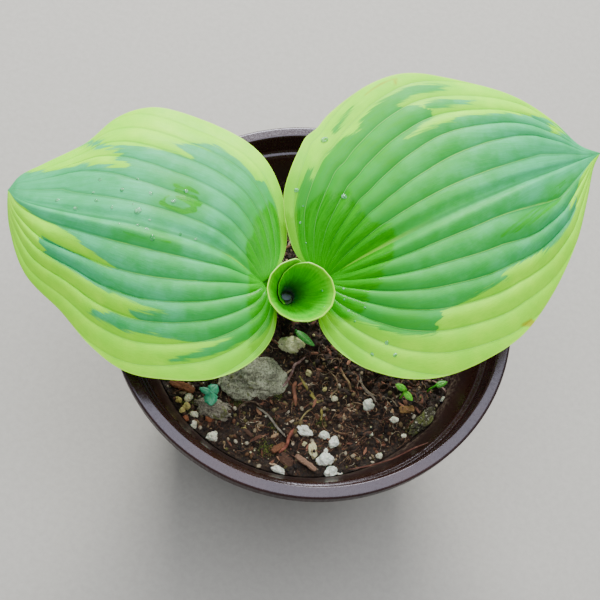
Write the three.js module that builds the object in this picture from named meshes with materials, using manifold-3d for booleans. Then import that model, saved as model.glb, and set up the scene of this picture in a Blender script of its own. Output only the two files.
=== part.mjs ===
// A potted hosta: two broad ribbed leaves and one rolled young leaf stand in a dark round pot of potting mix.
// Millimetres, +Z up. The origin is the middle of the pot's flat underside, +Y is the far side of the pot.

import * as THREE from 'three';
import { mergeVertices } from 'three/addons/utils/BufferGeometryUtils.js';
import Module from 'manifold-3d';

const wasm = await Module();
wasm.setup();

// ---- driving dimensions ----

const gap = 0.3; // clear space between pieces that touch
const tau = 2 * Math.PI;

const potHeight = 112;
const rimRadius = 80;
const baseRadius = 51;
const wall = 2; // thickness of the pot's wall and floor
const lipWidth = 4.8; // flat top of the rim, measured inwards
const lipDrop = 6.8; // height of the rim's turned-down outer side
const potSides = 56;
const ledgeDepth = 9; // below the rim, where the inner wall steps inwards
const drainHoles = { radius: 4.5, circle: 30, count: 5 };

const soilLevel = 84;
const soilMound = 2.5; // how much the middle stands over the edge
const soilBottom = wall + 0.6 + gap;
const soilSink = { x: 52, y: -6, spread: 12, depth: 4 }; // hollow by the pot's right wall

const bladeThickness = 0.7;
const ribsPerHalf = 7; // puffed ribs between the sunken veins of one leaf half
const ribHeight = 1.7;
const halfCamber = 2.5; // how far each leaf half arches over the straight line from midrib to margin
const marginWave = { height: 0.7, count: 3.5 };
const bladeRows = 14; // steps from petiole to tip; across, each rib has three
const midribLag = 1.3; // veins leave the base of the midrib closer together than they leave the margin

// Leaf outlines run from the petiole to the tip: the midrib, the margin on the far side and the one on the near side.
const leftLeaf = {
  name: 'leaf_left',
  midrib: [[-20.5, -11, 136], [-36, -6.5, 142], [-47.5, -7, 147], [-68, -8.5, 150], [-95.5, -9, 145],
    [-113.5, -6, 138], [-122.5, 0, 131]],
  far: [[-20.5, -11, 136], [-16.5, -5, 137], [-15.5, 4, 138], [-18, 14, 140], [-24, 26.5, 142],
    [-34, 36.5, 144], [-49.5, 43, 145], [-66, 45, 145], [-80.5, 43.5, 144], [-92, 36.5, 142],
    [-100, 23.5, 139.5], [-112.5, 12, 136], [-120, 6, 133], [-122.5, 0, 131]],
  near: [[-20.5, -11, 136], [-16, -15.5, 136.5], [-12, -22, 136.5], [-11.5, -31.5, 134], [-17, -41.5, 131],
    [-28, -50, 128.5], [-43, -54, 126.5], [-59.5, -54.5, 125], [-74, -49, 124.5], [-89, -39, 125.5],
    [-106, -29, 127], [-117, -14, 129], [-121, -5, 130.5], [-122.5, 0, 131]],
  petiole: [[-18.8, 12, 68], [-19, 8, 88], [-20, 1, 110], [-20.6, -5.5, 127]],
  wavePhase: 0.6,
};
const rightLeaf = {
  name: 'leaf_right',
  midrib: [[2.5, -2.5, 137], [9, 2.5, 143], [17, 8.5, 149], [34.5, 23, 156], [58, 43, 159],
    [75, 58.5, 156], [92.5, 76, 150]],
  far: [[2.5, -2.5, 137], [-5.5, -1, 138.5], [-11.5, 2, 141], [-17.5, 10, 145], [-21.5, 20, 149],
    [-21.5, 29.5, 153], [-20.5, 36.5, 155], [-19.5, 41.5, 156.5], [-16.5, 46, 158], [-14, 52, 159.5],
    [-4, 65.5, 163], [8.5, 74.5, 165], [25, 78.5, 166], [45.5, 80, 165], [69.5, 77, 160],
    [83, 74, 154], [92.5, 76, 150]],
  near: [[2.5, -2.5, 137], [3.5, -11, 136], [3.5, -19, 134.5], [10.5, -26, 133], [23, -31, 132],
    [37.5, -31, 131], [52, -26, 131], [66, -16, 132], [78, -3, 134], [86, 15.5, 138],
    [90.5, 37, 143], [91, 55, 147.5], [91, 69, 149.5], [92.5, 76, 150]],
  petiole: [[-3.2, 13, 68], [-3, 10.5, 88], [-0.5, 7, 110], [2, 2, 128]],
  wavePhase: 2.4,
};
const petioleRadius = 2.4;
const keelEnd = 0.45; // share of the midrib that its keel runs under

// The young leaf is rolled into a funnel of one and a half turns round a leaning axis.
const rolled = {
  axis: [[-10.2, 13, 68], [-10.5, 6, 90], [-10.8, -1.9, 110], [-9.6, -7, 124], [-7.3, -11.9, 136],
    [-5.4, -15.3, 148]],
  bottom: 103, // where the sheet leaves the petiole
  mouth: 148,
  stemRadius: 4.1,
  throatRadius: 3.8,
  mouthRadius: 12.85,
  flare: 2.4, // power that the radius grows with
  layerStep: 1.15, // how much one turn lies inside the one before
  firstTurn: -50,
  lastTurn: 520, // degrees from the far side, counter-clockwise seen from above
  outerDrop: 22, // how far the outer side edge falls at the back
  innerDrop: 19, // how far the inner side edge falls in the funnel
  tipRise: 1.6,
};

// Stones and clods: centre in plan, half sizes along x, y and z, turn about z in degrees.
const stones = [
  { name: 'stone_mossy', at: [-15.2, -29.4], half: [13.4, 9.6, 6.8], turn: 24, detail: 2, rise: 1.2, colour: 0x6f6c5e },
  { name: 'clod_grey', at: [-26.4, -46.4], half: [7.6, 3.8, 3.4], turn: 8, detail: 1, rise: 0.8, colour: 0x57524a },
  { name: 'clod_mossy', at: [56.6, -27.2], half: [6.6, 2.8, 3.2], turn: 62, detail: 1, rise: 0.8, colour: 0x3c3a24 },
  { name: 'pebble_cream', at: [-3.4, -11.2], half: [4.9, 3.5, 3], turn: 6, detail: 1, rise: 1.3, colour: 0xd9d6b4 },
];

// Perlite grains: place in plan, half sizes along x, y and z, and turn in degrees.
const perlite = [
  [21.5, -54.1, 2.9, 2.6, 2.3, 20], [24.7, -58.4, 2.5, 1.9, 1.8, 70], [10.4, -45.3, 2.9, 1.9, 1.8, -10],
  [18.6, -44.6, 1.8, 1.6, 1.5, 0], [23.2, -46.4, 2.1, 1.8, 1.7, 60], [15.7, -52.1, 2.7, 1.5, 1.3, 105],
  [4.5, -63, 2.6, 1.3, 1.1, -8], [33, -27.6, 2.1, 1.9, 1.7, 80], [44.6, -30.4, 1.6, 1.3, 1.2, 30],
  [6.4, -20.9, 1.3, 1.1, 1.1, 0], [42.4, -45.6, 1.2, 1.1, 1.1, 0], [63.2, -15.4, 1.3, 1.2, 1.1, 0],
  [-23.9, -57.2, 2, 1.7, 1.6, 30], [-32.5, -54.6, 1.3, 1.3, 1.2, 50], [-37.2, -48.2, 1.4, 1.3, 1.2, 10],
  [18.6, -29.1, 1.4, 1.2, 1.1, 0], [-37.6, -44.4, 1.7, 1.5, 1.3, 40],
];

// Bark chips: place in plan, half length, half width, half thickness and turn in degrees.
const barkChips = [
  { at: [-41.5, -40.6], half: [5.4, 1.7, 0.9], turn: -8, colour: 0xa06232 },
  { at: [14.2, -57.6], half: [4.9, 1.2, 0.8], turn: -22, colour: 0xb98350 },
  { at: [6.4, -58.6], half: [3.2, 1.7, 0.8], turn: -24, colour: 0x6b4a30 },
  { at: [48.6, -24.7], half: [3.2, 1.6, 0.8], turn: 25, colour: 0xa98140 },
  { at: [2.3, -54.6], half: [3.2, 1.4, 0.9], turn: 48, colour: 0x9a6a58 },
  { at: [24.6, -32.6], half: [4.2, 1.4, 0.8], turn: 64, colour: 0x8a6238 },
];

// Roots and straws: points in plan, with a height where they leave the mix to lean on the wall, and radius.
const strands = [
  { name: 'root_olive', path: [[3.6, -24.5], [8, -29.4], [11.6, -34], [15.2, -39]],
    radius: 0.75, colour: 0x8d8038 },
  { name: 'root_grey', path: [[-10.4, -40.6], [-5.4, -43.2], [-0.6, -46.4], [4, -49.6]],
    radius: 0.5, colour: 0x7d756a },
  { name: 'straw_red',
    path: [[31.4, -55.2], [38.9, -52.6, 89], [45.9, -49.5, 94.5], [52.6, -45, 101.5], [56.8, -42.6, 105]],
    radius: 0.6, colour: 0x8a4a34 },
  { name: 'root_pale', path: [[26.6, -15.4], [29.6, -20.5], [34.4, -23.4], [38.6, -28.2]],
    radius: 0.5, colour: 0x96897a },
  { name: 'husk_brown', path: [[1.6, -27.4], [0.4, -30.6], [1.4, -35.6], [4.6, -38.6]],
    radius: 1.1, colour: 0x7c4a34 },
];

// Weed seedlings: foot in plan, stem height, and leaves as [direction, length, width, lift] in degrees and mm.
const seedlings = [
  { name: 'seedling_lobed', foot: [-29.8, -40.6], tip: [-29.4, -42.4], height: 5.6, colour: 0x4c9a78,
    leaves: [[150, 4.2, 3.2, 8], [258, 4.6, 3.4, 4], [18, 4.2, 3.2, 10]] },
  { name: 'seedling_pair', foot: [45.2, -20.2], tip: [46.2, -17.4], height: 4.6, colour: 0x6fc52e,
    leaves: [[166, 5, 3.1, 12], [-34, 5.2, 3.1, 4]] },
  { name: 'seedling_single', foot: [55.6, -13.4], tip: [58.4, -11.6], height: 5.2, colour: 0x62b52c,
    leaves: [[34, 5, 2.6, 16]] },
  { name: 'seedling_slender', foot: [-3.6, -5.6], tip: [-3.2, -7.4], height: 5, colour: 0x5aa53c,
    leaves: [[-27, 9.8, 3.2, 6]] },
];

// ---- finishes ----

const finish = (color, roughness = 0.8) => new THREE.MeshStandardMaterial({ color, roughness, metalness: 0 });
const finishes = {
  pot: finish(0x2a1712, 0.2),
  soil: finish(0x2b211a, 0.95),
  leaf: finish(0x79bf8d, 0.5),
  perlite: finish(0xdcdacd, 0.9),
};

// ---- closed bodies from grids of points ----

// A closed body from points and triangles: equal points are joined, collapsed triangles dropped, faces turned out.
function closedBody(points, triangles) {
  const geometry = new THREE.BufferGeometry();
  geometry.setAttribute('position', new THREE.Float32BufferAttribute(points.flatMap((p) => [p.x, p.y, p.z]), 3));
  geometry.setIndex(triangles.flat());
  return bodyOf(geometry);
}

function bodyOf(geometry) {
  const bare = geometry.clone();
  bare.deleteAttribute('normal');
  bare.deleteAttribute('uv');
  const merged = mergeVertices(bare, 1e-4);
  const vertProperties = new Float32Array(merged.attributes.position.array);
  const corner = (i) => new THREE.Vector3().fromArray(vertProperties, 3 * i);
  const faces = [];
  let volume = 0;
  for (let t = 0; t < merged.index.count; t += 3) {
    const [a, b, c] = [0, 1, 2].map((k) => merged.index.getX(t + k));
    if (a === b || b === c || c === a) continue;
    faces.push([a, b, c]);
    volume += corner(a).dot(corner(b).cross(corner(c)));
  }
  const turned = volume < 0 ? faces.map(([a, b, c]) => [a, c, b]) : faces;
  return new wasm.Manifold(new wasm.Mesh({ numProp: 3, vertProperties, triVerts: new Uint32Array(turned.flat()) }));
}

function geometryOf(body) {
  const { vertProperties, triVerts } = body.getMesh();
  const geometry = new THREE.BufferGeometry();
  geometry.setAttribute('position', new THREE.BufferAttribute(vertProperties, 3));
  geometry.setIndex(new THREE.BufferAttribute(triVerts, 1));
  geometry.computeVertexNormals();
  return geometry;
}

// Triangles of a grid of (rows + 1) x (columns + 1) points that starts at a given index.
function gridFaces(rows, columns, start, flipped = false) {
  const faces = [];
  for (let i = 0; i < rows; i += 1) {
    for (let j = 0; j < columns; j += 1) {
      const a = start + i * (columns + 1) + j;
      const b = a + columns + 1;
      const pair = [[a, b, b + 1], [a, b + 1, a + 1]];
      faces.push(...(flipped ? pair.map(([p, q, r]) => [p, r, q]) : pair));
    }
  }
  return faces;
}

// A sheet of even thickness round surface(u, v), u and v from 0 to 1. Both faces are split alike.
function sheetBody(surface, rows, columns, thickness) {
  const step = 1e-3;
  const upper = [];
  const lower = [];
  for (let i = 0; i <= rows; i += 1) {
    for (let j = 0; j <= columns; j += 1) {
      const u = i / rows;
      const v = j / columns;
      const uIn = THREE.MathUtils.clamp(u, 0.02, 0.98);
      const along = surface(uIn + step, v).sub(surface(uIn - step, v));
      const across = surface(uIn, Math.min(v + step, 1)).sub(surface(uIn, Math.max(v - step, 0)));
      const normal = along.cross(across).normalize().multiplyScalar(thickness / 2);
      upper.push(surface(u, v).add(normal));
      lower.push(surface(u, v).sub(normal));
    }
  }
  for (const row of [0, rows]) evenOut(surface, upper, lower, row, columns, thickness);
  const faces = [...gridFaces(rows, columns, 0), ...gridFaces(rows, columns, upper.length, true)];
  const edge = [];
  for (let j = 0; j < columns; j += 1) edge.push(j);
  for (let i = 0; i < rows; i += 1) edge.push(i * (columns + 1) + columns);
  for (let j = columns; j > 0; j -= 1) edge.push(rows * (columns + 1) + j);
  for (let i = rows; i > 0; i -= 1) edge.push(i * (columns + 1));
  edge.forEach((a, k) => {
    const b = edge[(k + 1) % edge.length];
    faces.push([a, b, b + upper.length], [a, b + upper.length, a + upper.length]);
  });
  return closedBody([...upper, ...lower], faces);
}

// Where a whole row of the sheet is one point, as at a leaf's foot and tip, it gets one upper and one lower point.
function evenOut(surface, upper, lower, row, columns, thickness) {
  const first = row * (columns + 1);
  const u = row === 0 ? 0 : 1;
  if (surface(u, 0).distanceTo(surface(u, 0.5)) > 1e-3) return;
  const lift = new THREE.Vector3(0, 0, thickness / 2);
  for (let j = first; j <= first + columns; j += 1) {
    upper[j] = surface(u, 0.5).add(lift);
    lower[j] = surface(u, 0.5).sub(lift);
  }
}

// A body through rings of equal length; each end closes on the middle of its ring.
function loftBody(rings) {
  const sides = rings[0].length;
  const points = rings.flatMap((ring) => [...ring, ring[0]]);
  const faces = gridFaces(rings.length - 1, sides, 0);
  for (const [ring, flipped] of [[0, true], [rings.length - 1, false]]) {
    const middle = rings[ring].reduce((sum, p) => sum.add(p), new THREE.Vector3()).divideScalar(sides);
    points.push(middle);
    for (let j = 0; j < sides; j += 1) {
      const a = ring * (sides + 1) + j;
      faces.push(flipped ? [points.length - 1, a, a + 1] : [points.length - 1, a + 1, a]);
    }
  }
  return closedBody(points, faces);
}

const curveThrough = (points) => new THREE.CatmullRomCurve3(points.map((p) => new THREE.Vector3(...p)));
const smooth = THREE.MathUtils.smoothstep;

// ---- pot ----

// The lathed wall: flat underside, tapering side, step under the lip, turned-down lip, inner ledge, floor.
function potBody() {
  const lipFoot = potHeight - lipDrop;
  const ledge = potHeight - ledgeDepth;
  const inner = rimRadius - lipWidth;
  const outline = [
    [0, 0], [baseRadius - 1.6, 0], [baseRadius - 0.4, 0.5], [baseRadius, 1.8],
    [inner - 2.2, ledge - 3], [inner + 0.3, ledge - 0.4], [inner + 1.2, lipFoot], [rimRadius - 0.9, lipFoot],
    [rimRadius - 0.2, lipFoot + 0.7], [rimRadius, potHeight - 1.2], [rimRadius - 0.8, potHeight],
    [inner + 0.5, potHeight], [inner, potHeight - 0.6], [inner - 1.5, ledge], [inner - 3.8, ledge - 0.8],
    [baseRadius - wall + 0.4, wall + 1.6], [baseRadius - wall - 1, wall + 0.6], [0, wall + 0.6],
  ];
  const profile = outline.map(([r, z]) => new THREE.Vector2(r, z));
  const shell = bodyOf(new THREE.LatheGeometry(profile, potSides).rotateX(Math.PI / 2));
  let pot = shell;
  for (let k = 0; k < drainHoles.count; k += 1) {
    const turn = tau * (k + 0.5) / drainHoles.count;
    const drill = new THREE.CylinderGeometry(drainHoles.radius, drainHoles.radius, 12, 12).rotateX(Math.PI / 2);
    drill.translate(drainHoles.circle * Math.cos(turn), drainHoles.circle * Math.sin(turn), 0);
    pot = pot.subtract(bodyOf(drill));
  }
  return pot;
}

// Inner radius of the pot's wall at a height below the ledge.
const wallRadius = (z) => {
  const share = z / (potHeight - ledgeDepth);
  return THREE.MathUtils.lerp(baseRadius, rimRadius - lipWidth - 2, share) - wall;
};

// ---- potting mix ----

// Height of the mix: a low mound with crossing waves for lumps, and a hollow by the right wall.
function soilHeight(x, y) {
  const fromMiddle = Math.hypot(x, y) / wallRadius(soilLevel);
  const lumps = 0.8 * Math.sin(0.21 * x + 1.3) * Math.cos(0.17 * y + 0.4)
    + 0.6 * Math.sin(0.47 * x - 0.33 * y + 2) + 0.45 * Math.cos(0.71 * x + 0.62 * y);
  const sink = soilSink.depth * Math.exp(-((x - soilSink.x) ** 2 + (y - soilSink.y) ** 2) / soilSink.spread ** 2);
  return soilLevel + soilMound * (1 - fromMiddle ** 2) + lumps * smooth(1.06 - fromMiddle, 0, 0.3) - sink;
}

function soilBody() {
  const sides = 36;
  const rings = [];
  const ring = (radius, height) => {
    rings.push(Array.from({ length: sides }, (_, j) => {
      const x = radius * Math.cos(tau * j / sides);
      const y = radius * Math.sin(tau * j / sides);
      return new THREE.Vector3(x, y, height ?? soilHeight(x, y));
    }));
  };
  const top = wallRadius(soilLevel - 1) - gap - 0.3;
  for (let k = 1; k <= 11; k += 1) ring(top * k / 11);
  ring(wallRadius(soilLevel - 8) - gap - 0.3, soilLevel - 8);
  ring(wallRadius(soilBottom + 2) - gap - 0.8, soilBottom + 2);
  ring(wallRadius(soilBottom) - gap - 2.4, soilBottom);
  return loftBody(rings);
}

// ---- leaves ----

// Blade from u = 0 at the petiole to u = 1 at the tip and v = 0 on the near margin to v = 1 on the far one.
// A point is mixed from midrib and margin, then raised by the camber, by the puffed ribs between the sunken veins
// and by the margin's waves.
function bladeSurface(leaf) {
  const midrib = curveThrough(leaf.midrib);
  const margins = [curveThrough(leaf.near), curveThrough(leaf.far)];
  return (u, v) => {
    const side = 2 * v - 1;
    const out = Math.abs(side);
    const point = midrib.getPointAt(u ** midribLag).lerp(margins[side < 0 ? 0 : 1].getPointAt(u), out);
    const ends = smooth(u, 0.03, 0.3) * (1 - smooth(u, 0.72, 0.99));
    point.z += halfCamber * Math.sin(Math.PI * out) * Math.sin(Math.PI * u);
    point.z += ribHeight * ends * Math.abs(Math.sin(Math.PI * ribsPerHalf * out)) ** 0.8 * (1 - 0.5 * out ** 4);
    point.z += marginWave.height * ends * out ** 4 * Math.sin(tau * marginWave.count * u + leaf.wavePhase);
    return point;
  };
}

// Stem with a channel on its upper side: rings along a path, radius and channel depth given by the share of the way.
function channelStem(path, radiusAt, depthAt, across, steps, sides) {
  const rings = [];
  for (let i = 0; i <= steps; i += 1) {
    const share = i / steps;
    const middle = path.getPointAt(share);
    const tangent = path.getTangentAt(share);
    const upper = new THREE.Vector3().crossVectors(across, tangent).normalize();
    const beside = new THREE.Vector3().crossVectors(tangent, upper);
    rings.push(Array.from({ length: sides }, (_, j) => {
      const angle = tau * j / sides;
      const reach = radiusAt(share) * (1 - depthAt(share) * Math.max(0, Math.cos(angle)) ** 3);
      return middle.clone()
        .addScaledVector(upper, reach * Math.cos(angle))
        .addScaledVector(beside, reach * Math.sin(angle));
    }));
  }
  return loftBody(rings);
}

// The petiole rises from the mix and runs on under the blade as the midrib's keel, getting thinner.
function petioleBody(leaf) {
  const midrib = curveThrough(leaf.midrib);
  const keel = [0, 0.12, 0.28, keelEnd].map((u) => {
    const depth = THREE.MathUtils.lerp(petioleRadius - 0.2, 0.5, u / keelEnd);
    return midrib.getPointAt(u).add(new THREE.Vector3(0, 0, -depth)).toArray();
  });
  const path = curveThrough([...leaf.petiole, ...keel]);
  const outwards = new THREE.Vector3(...leaf.midrib.at(-1)).setZ(0).sub(new THREE.Vector3(...leaf.midrib[0]).setZ(0));
  const across = new THREE.Vector3(-outwards.y, outwards.x, 0).normalize();
  const radiusAt = (share) => petioleRadius * (1.25 - 0.3 * smooth(share, 0, 0.5) - 0.72 * smooth(share, 0.5, 1));
  const depthAt = (share) => 0.45 * (1 - smooth(share, 0.45, 0.62));
  return channelStem(path, radiusAt, depthAt, across, 16, 10);
}

function leafBody(leaf) {
  const blade = sheetBody(bladeSurface(leaf), bladeRows, 6 * ribsPerHalf, bladeThickness);
  return blade.add(petioleBody(leaf));
}

// ---- rolled leaf ----

// The sheet round the leaning axis: u turns round it, v climbs from the petiole to the margin. The radius grows with
// the height and shrinks with each turn, and the rings get level towards the mouth. The margin falls at both side
// edges and rises a little at the leaf's tip.
function rolledSurface() {
  const axis = curveThrough(rolled.axis);
  const byHeight = new Map();
  const shareAt = (z) => {
    const key = z.toFixed(2);
    if (!byHeight.has(key)) {
      let [low, high] = [0, 1];
      for (let k = 0; k < 24; k += 1) {
        const mid = (low + high) / 2;
        if (axis.getPointAt(mid).z < z) low = mid;
        else high = mid;
      }
      byHeight.set(key, low);
    }
    return byHeight.get(key);
  };
  return (u, v) => {
    const turn = THREE.MathUtils.lerp(rolled.firstTurn, rolled.lastTurn, u);
    const margin = rolled.mouth
      + rolled.tipRise * Math.exp(-(((turn - 186) / 9) ** 2))
      - rolled.outerDrop * THREE.MathUtils.clamp((8 - turn) / (8 - rolled.firstTurn), 0, 1) ** 0.7
      - rolled.innerDrop * smooth(turn, 352, rolled.lastTurn);
    const height = Math.min(THREE.MathUtils.lerp(rolled.bottom, margin, v), rolled.mouth);
    const share = shareAt(height);
    const climb = (height - rolled.bottom) / (rolled.mouth - rolled.bottom);
    const radius = THREE.MathUtils.lerp(rolled.throatRadius, rolled.mouthRadius, climb ** rolled.flare)
      - rolled.layerStep * turn / 360;
    const tangent = axis.getTangentAt(share).lerp(new THREE.Vector3(0, 0, 1), climb).normalize();
    const right = new THREE.Vector3(1, 0, 0).addScaledVector(tangent, -tangent.x).normalize();
    const back = new THREE.Vector3().crossVectors(tangent, right);
    const angle = THREE.MathUtils.degToRad(90 + turn);
    return axis.getPointAt(share)
      .addScaledVector(right, radius * Math.cos(angle))
      .addScaledVector(back, radius * Math.sin(angle));
  };
}

function rolledBody() {
  const sheet = sheetBody(rolledSurface(), 34, 7, bladeThickness);
  const axis = curveThrough(rolled.axis);
  const path = curveThrough([0, 0.12, 0.24, 0.36, 0.47].map((share) => axis.getPointAt(share).toArray()));
  const radiusAt = (share) => rolled.stemRadius * (0.86 + 0.14 * share);
  const stem = channelStem(path, radiusAt, () => 0, new THREE.Vector3(1, 0, 0), 6, 12);
  return sheet.add(stem);
}

// ---- things on the mix ----

// An uneven rounded stone: a ball of triangles, each point pushed in or out by crossing waves, scaled and turned.
function stoneBody({ half, turn = 0, detail }, seed, grow = 0) {
  const ball = new THREE.IcosahedronGeometry(1, detail);
  const place = ball.attributes.position;
  const point = new THREE.Vector3();
  const size = new THREE.Vector3(...half).addScalar(grow);
  for (let k = 0; k < place.count; k += 1) {
    point.fromBufferAttribute(place, k);
    const rough = 1 + 0.09 * Math.sin(3.1 * point.x + 2.3 * point.y + seed)
      + 0.07 * Math.cos(4.3 * point.y - 3.7 * point.z + 2 * seed)
      + 0.05 * Math.sin(6.1 * point.z + 5.2 * point.x + 3 * seed);
    point.multiplyScalar(rough).multiply(size);
    place.setXYZ(k, point.x, point.y, point.z);
  }
  return bodyOf(ball.rotateZ(THREE.MathUtils.degToRad(turn)));
}

// A flat splinter of bark with blunt, uneven ends, bent a little along its length.
function barkBody({ half, turn }, seed, grow = 0) {
  const [length, width, thick] = half;
  const rings = [-1, -0.55, 0, 0.5, 1].map((share, k) => {
    const taper = 1 - 0.45 * share ** 4 + 0.12 * Math.sin(5 * k + seed);
    const rise = 0.5 * Math.sin(2 * share + seed);
    return [[1, 0.4], [0.5, 1], [-0.6, 0.9], [-1, -0.3], [-0.4, -1], [0.7, -0.8]].map(([y, z]) => new THREE.Vector3(
      share * (length + grow), y * (width * taper + grow), rise + z * (thick * taper + grow)));
  });
  return loftBody(rings).rotate([0, 0, turn]);
}

// A strand as a five-sided tube along a curve that lies on the mix.
function strandBody({ path, radius }, grow = 0) {
  const curve = curveThrough(path.map(([x, y, z]) => [x, y, z ?? soilHeight(x, y) + radius * 0.5]));
  const section = new THREE.Shape();
  for (let k = 0; k < 5; k += 1) {
    const [x, y] = [Math.cos(tau * k / 5), Math.sin(tau * k / 5)].map((c) => c * (radius + grow));
    if (k === 0) section.moveTo(x, y);
    else section.lineTo(x, y);
  }
  return bodyOf(new THREE.ExtrudeGeometry(section, { extrudePath: curve, steps: 7, bevelEnabled: false }));
}

// A seedling leaf: a pointed oval that starts inside the stem, arched across and lifted along its length.
function seedlingLeaf(foot, [direction, length, width, lift]) {
  const angle = THREE.MathUtils.degToRad(direction);
  const along = new THREE.Vector3(Math.cos(angle), Math.sin(angle), 0);
  const across = new THREE.Vector3(-along.y, along.x, 0);
  const climb = Math.tan(THREE.MathUtils.degToRad(lift));
  return sheetBody((u, v) => {
    const side = 2 * v - 1;
    const half = (width / 2) * Math.sin(Math.PI * u ** 0.8) ** 0.75;
    return foot.clone().addScaledVector(along, length * u).addScaledVector(across, half * side)
      .add(new THREE.Vector3(0, 0, length * u * climb - 0.5 * side ** 2 * half - 0.8 * u ** 2));
  }, 5, 4, 0.6);
}

function seedlingBody({ foot, tip, height, leaves }, grow = 0) {
  const ground = soilHeight(...foot);
  const top = new THREE.Vector3(tip[0], tip[1], ground + height);
  const middle = [(foot[0] * 2 + tip[0]) / 3, (foot[1] * 2 + tip[1]) / 3, ground + 0.6 * height];
  const path = curveThrough([[...foot, ground - 3], middle, top.toArray()]);
  const stem = channelStem(path, () => 0.5 + grow, () => 0, new THREE.Vector3(1, 0, 0), 4, 5);
  if (grow) return stem;
  return leaves.reduce((body, leaf, k) => body.add(seedlingLeaf(path.getPointAt(0.94 - 0.1 * k), leaf)), stem);
}

// ---- assembly ----

const plant = new THREE.Group();
const addMesh = (name, body, material) => {
  const mesh = new THREE.Mesh(geometryOf(body), material);
  mesh.name = name;
  plant.add(mesh);
  return mesh;
};

// Each thing that lies in or on the mix, with a slightly larger copy that presses its seat into the mix.
const lying = [];
const lay = (name, body, seat, material, at, rise) => {
  const place = at ? [...at, soilHeight(...at) + rise] : [0, 0, 0];
  lying.push({ name, material, body: body.translate(place), seat: seat.translate(place) });
};

stones.forEach((stone, k) => {
  const seat = stoneBody(stone, k + 1, gap);
  lay(stone.name, stoneBody(stone, k + 1), seat, finish(stone.colour, 0.9), stone.at, stone.rise);
});
perlite.forEach(([x, y, length, width, height, turn], k) => {
  const grain = { half: [length, width, height], turn, detail: length > 2.2 ? 1 : 0 };
  const seat = stoneBody(grain, 2.3 * k, gap);
  lay(`perlite_${k + 1}`, stoneBody(grain, 2.3 * k), seat, finishes.perlite, [x, y], 0.35 * height);
});
barkChips.forEach((chip, k) => {
  const seat = barkBody(chip, k, gap);
  lay(`bark_${k + 1}`, barkBody(chip, k), seat, finish(chip.colour, 0.9), chip.at, 0.5 * chip.half[2]);
});
strands.forEach((strand) => lay(strand.name, strandBody(strand), strandBody(strand, gap), finish(strand.colour, 0.8)));
seedlings.forEach((seedling) => {
  lay(seedling.name, seedlingBody(seedling), seedlingBody(seedling, gap), finish(seedling.colour, 0.5));
});

// Round holes in the mix that follow the three leaf stalks, a little wider than the stalks.
const stalkHole = (points) => {
  const path = curveThrough(points);
  const inMix = [0, 0.1, 0.2, 0.3, 0.42].map((share) => path.getPointAt(share).toArray());
  const below = path.getPointAt(0).addScaledVector(path.getTangentAt(0), -gap).toArray();
  const radius = points === rolled.axis ? rolled.stemRadius : petioleRadius * 1.3;
  return channelStem(curveThrough([below, ...inMix]), () => radius + gap, () => 0, new THREE.Vector3(1, 0, 0), 6, 16);
};

let mix = soilBody();
for (const points of [leftLeaf.petiole, rightLeaf.petiole, rolled.axis]) mix = mix.subtract(stalkHole(points));
for (const { seat } of lying) mix = mix.subtract(seat);

addMesh('pot', potBody(), finishes.pot);
addMesh('soil', mix, finishes.soil);
addMesh(leftLeaf.name, leafBody(leftLeaf), finishes.leaf);
addMesh(rightLeaf.name, leafBody(rightLeaf), finishes.leaf);
addMesh('leaf_rolled', rolledBody(), finishes.leaf);
for (const { name, body, material } of lying) addMesh(name, body, material);

export default plant;
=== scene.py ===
# A potted hosta seen from above: two ribbed leaves, one rolled leaf, and a dark pot of potting mix.
# Shapes are worked out in millimetres and put into the meshes in metres.

import math

import bmesh
import bpy
import numpy as np
from mathutils import Matrix


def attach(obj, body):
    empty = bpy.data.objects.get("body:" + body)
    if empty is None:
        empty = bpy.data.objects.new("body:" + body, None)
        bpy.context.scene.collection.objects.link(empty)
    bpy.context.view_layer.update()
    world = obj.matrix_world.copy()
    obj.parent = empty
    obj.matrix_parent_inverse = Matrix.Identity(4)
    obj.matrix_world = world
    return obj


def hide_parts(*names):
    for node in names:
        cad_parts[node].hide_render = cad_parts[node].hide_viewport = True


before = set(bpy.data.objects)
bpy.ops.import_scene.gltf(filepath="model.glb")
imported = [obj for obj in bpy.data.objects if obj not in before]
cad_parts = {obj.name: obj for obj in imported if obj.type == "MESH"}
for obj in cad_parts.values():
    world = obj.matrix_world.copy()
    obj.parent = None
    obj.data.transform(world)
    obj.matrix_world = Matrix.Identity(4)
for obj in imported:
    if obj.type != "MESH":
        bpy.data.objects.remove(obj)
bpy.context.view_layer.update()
mm = 0.001
print("frame loaded:", len(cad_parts), "nodes")


# ---- shapes as numpy arrays ----

def smoothStep(x, low, high):
    # 0 below low, 1 above high, 3s^2 - 2s^3 between
    s = np.clip((x - low) / (high - low), 0, 1)
    return s * s * (3 - 2 * s)


def unit(vectors):
    # Vectors scaled to length 1; a null vector stays null
    return vectors / np.maximum(np.linalg.norm(vectors, axis=-1, keepdims=True), 1e-9)


def splineAt(controls, t):
    # Catmull-Rom through the controls, knots spaced by the square root of their distance, ends mirrored
    p = np.asarray(controls, float)
    p = np.vstack([2 * p[0] - p[1], p, 2 * p[-1] - p[-2]])
    last = len(controls) - 1
    t = np.clip(np.asarray(t, float), 0, 1) * last
    i = np.minimum(t.astype(int), last - 1)
    f = (t - i)[..., None]
    a, b, c, d = p[i], p[i + 1], p[i + 2], p[i + 3]
    ab, bc, cd = (np.sqrt(np.linalg.norm(q - o, axis=-1))[..., None] for o, q in ((a, b), (b, c), (c, d)))
    leave = ((b - a) / ab - (c - a) / (ab + bc) + (c - b) / bc) * bc
    arrive = ((c - b) / bc - (d - b) / (bc + cd) + (d - c) / cd) * bc
    return ((2 * f**3 - 3 * f**2 + 1) * b + (f**3 - 2 * f**2 + f) * leave
            + (3 * f**2 - 2 * f**3) * c + (f**3 - f**2) * arrive)


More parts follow.
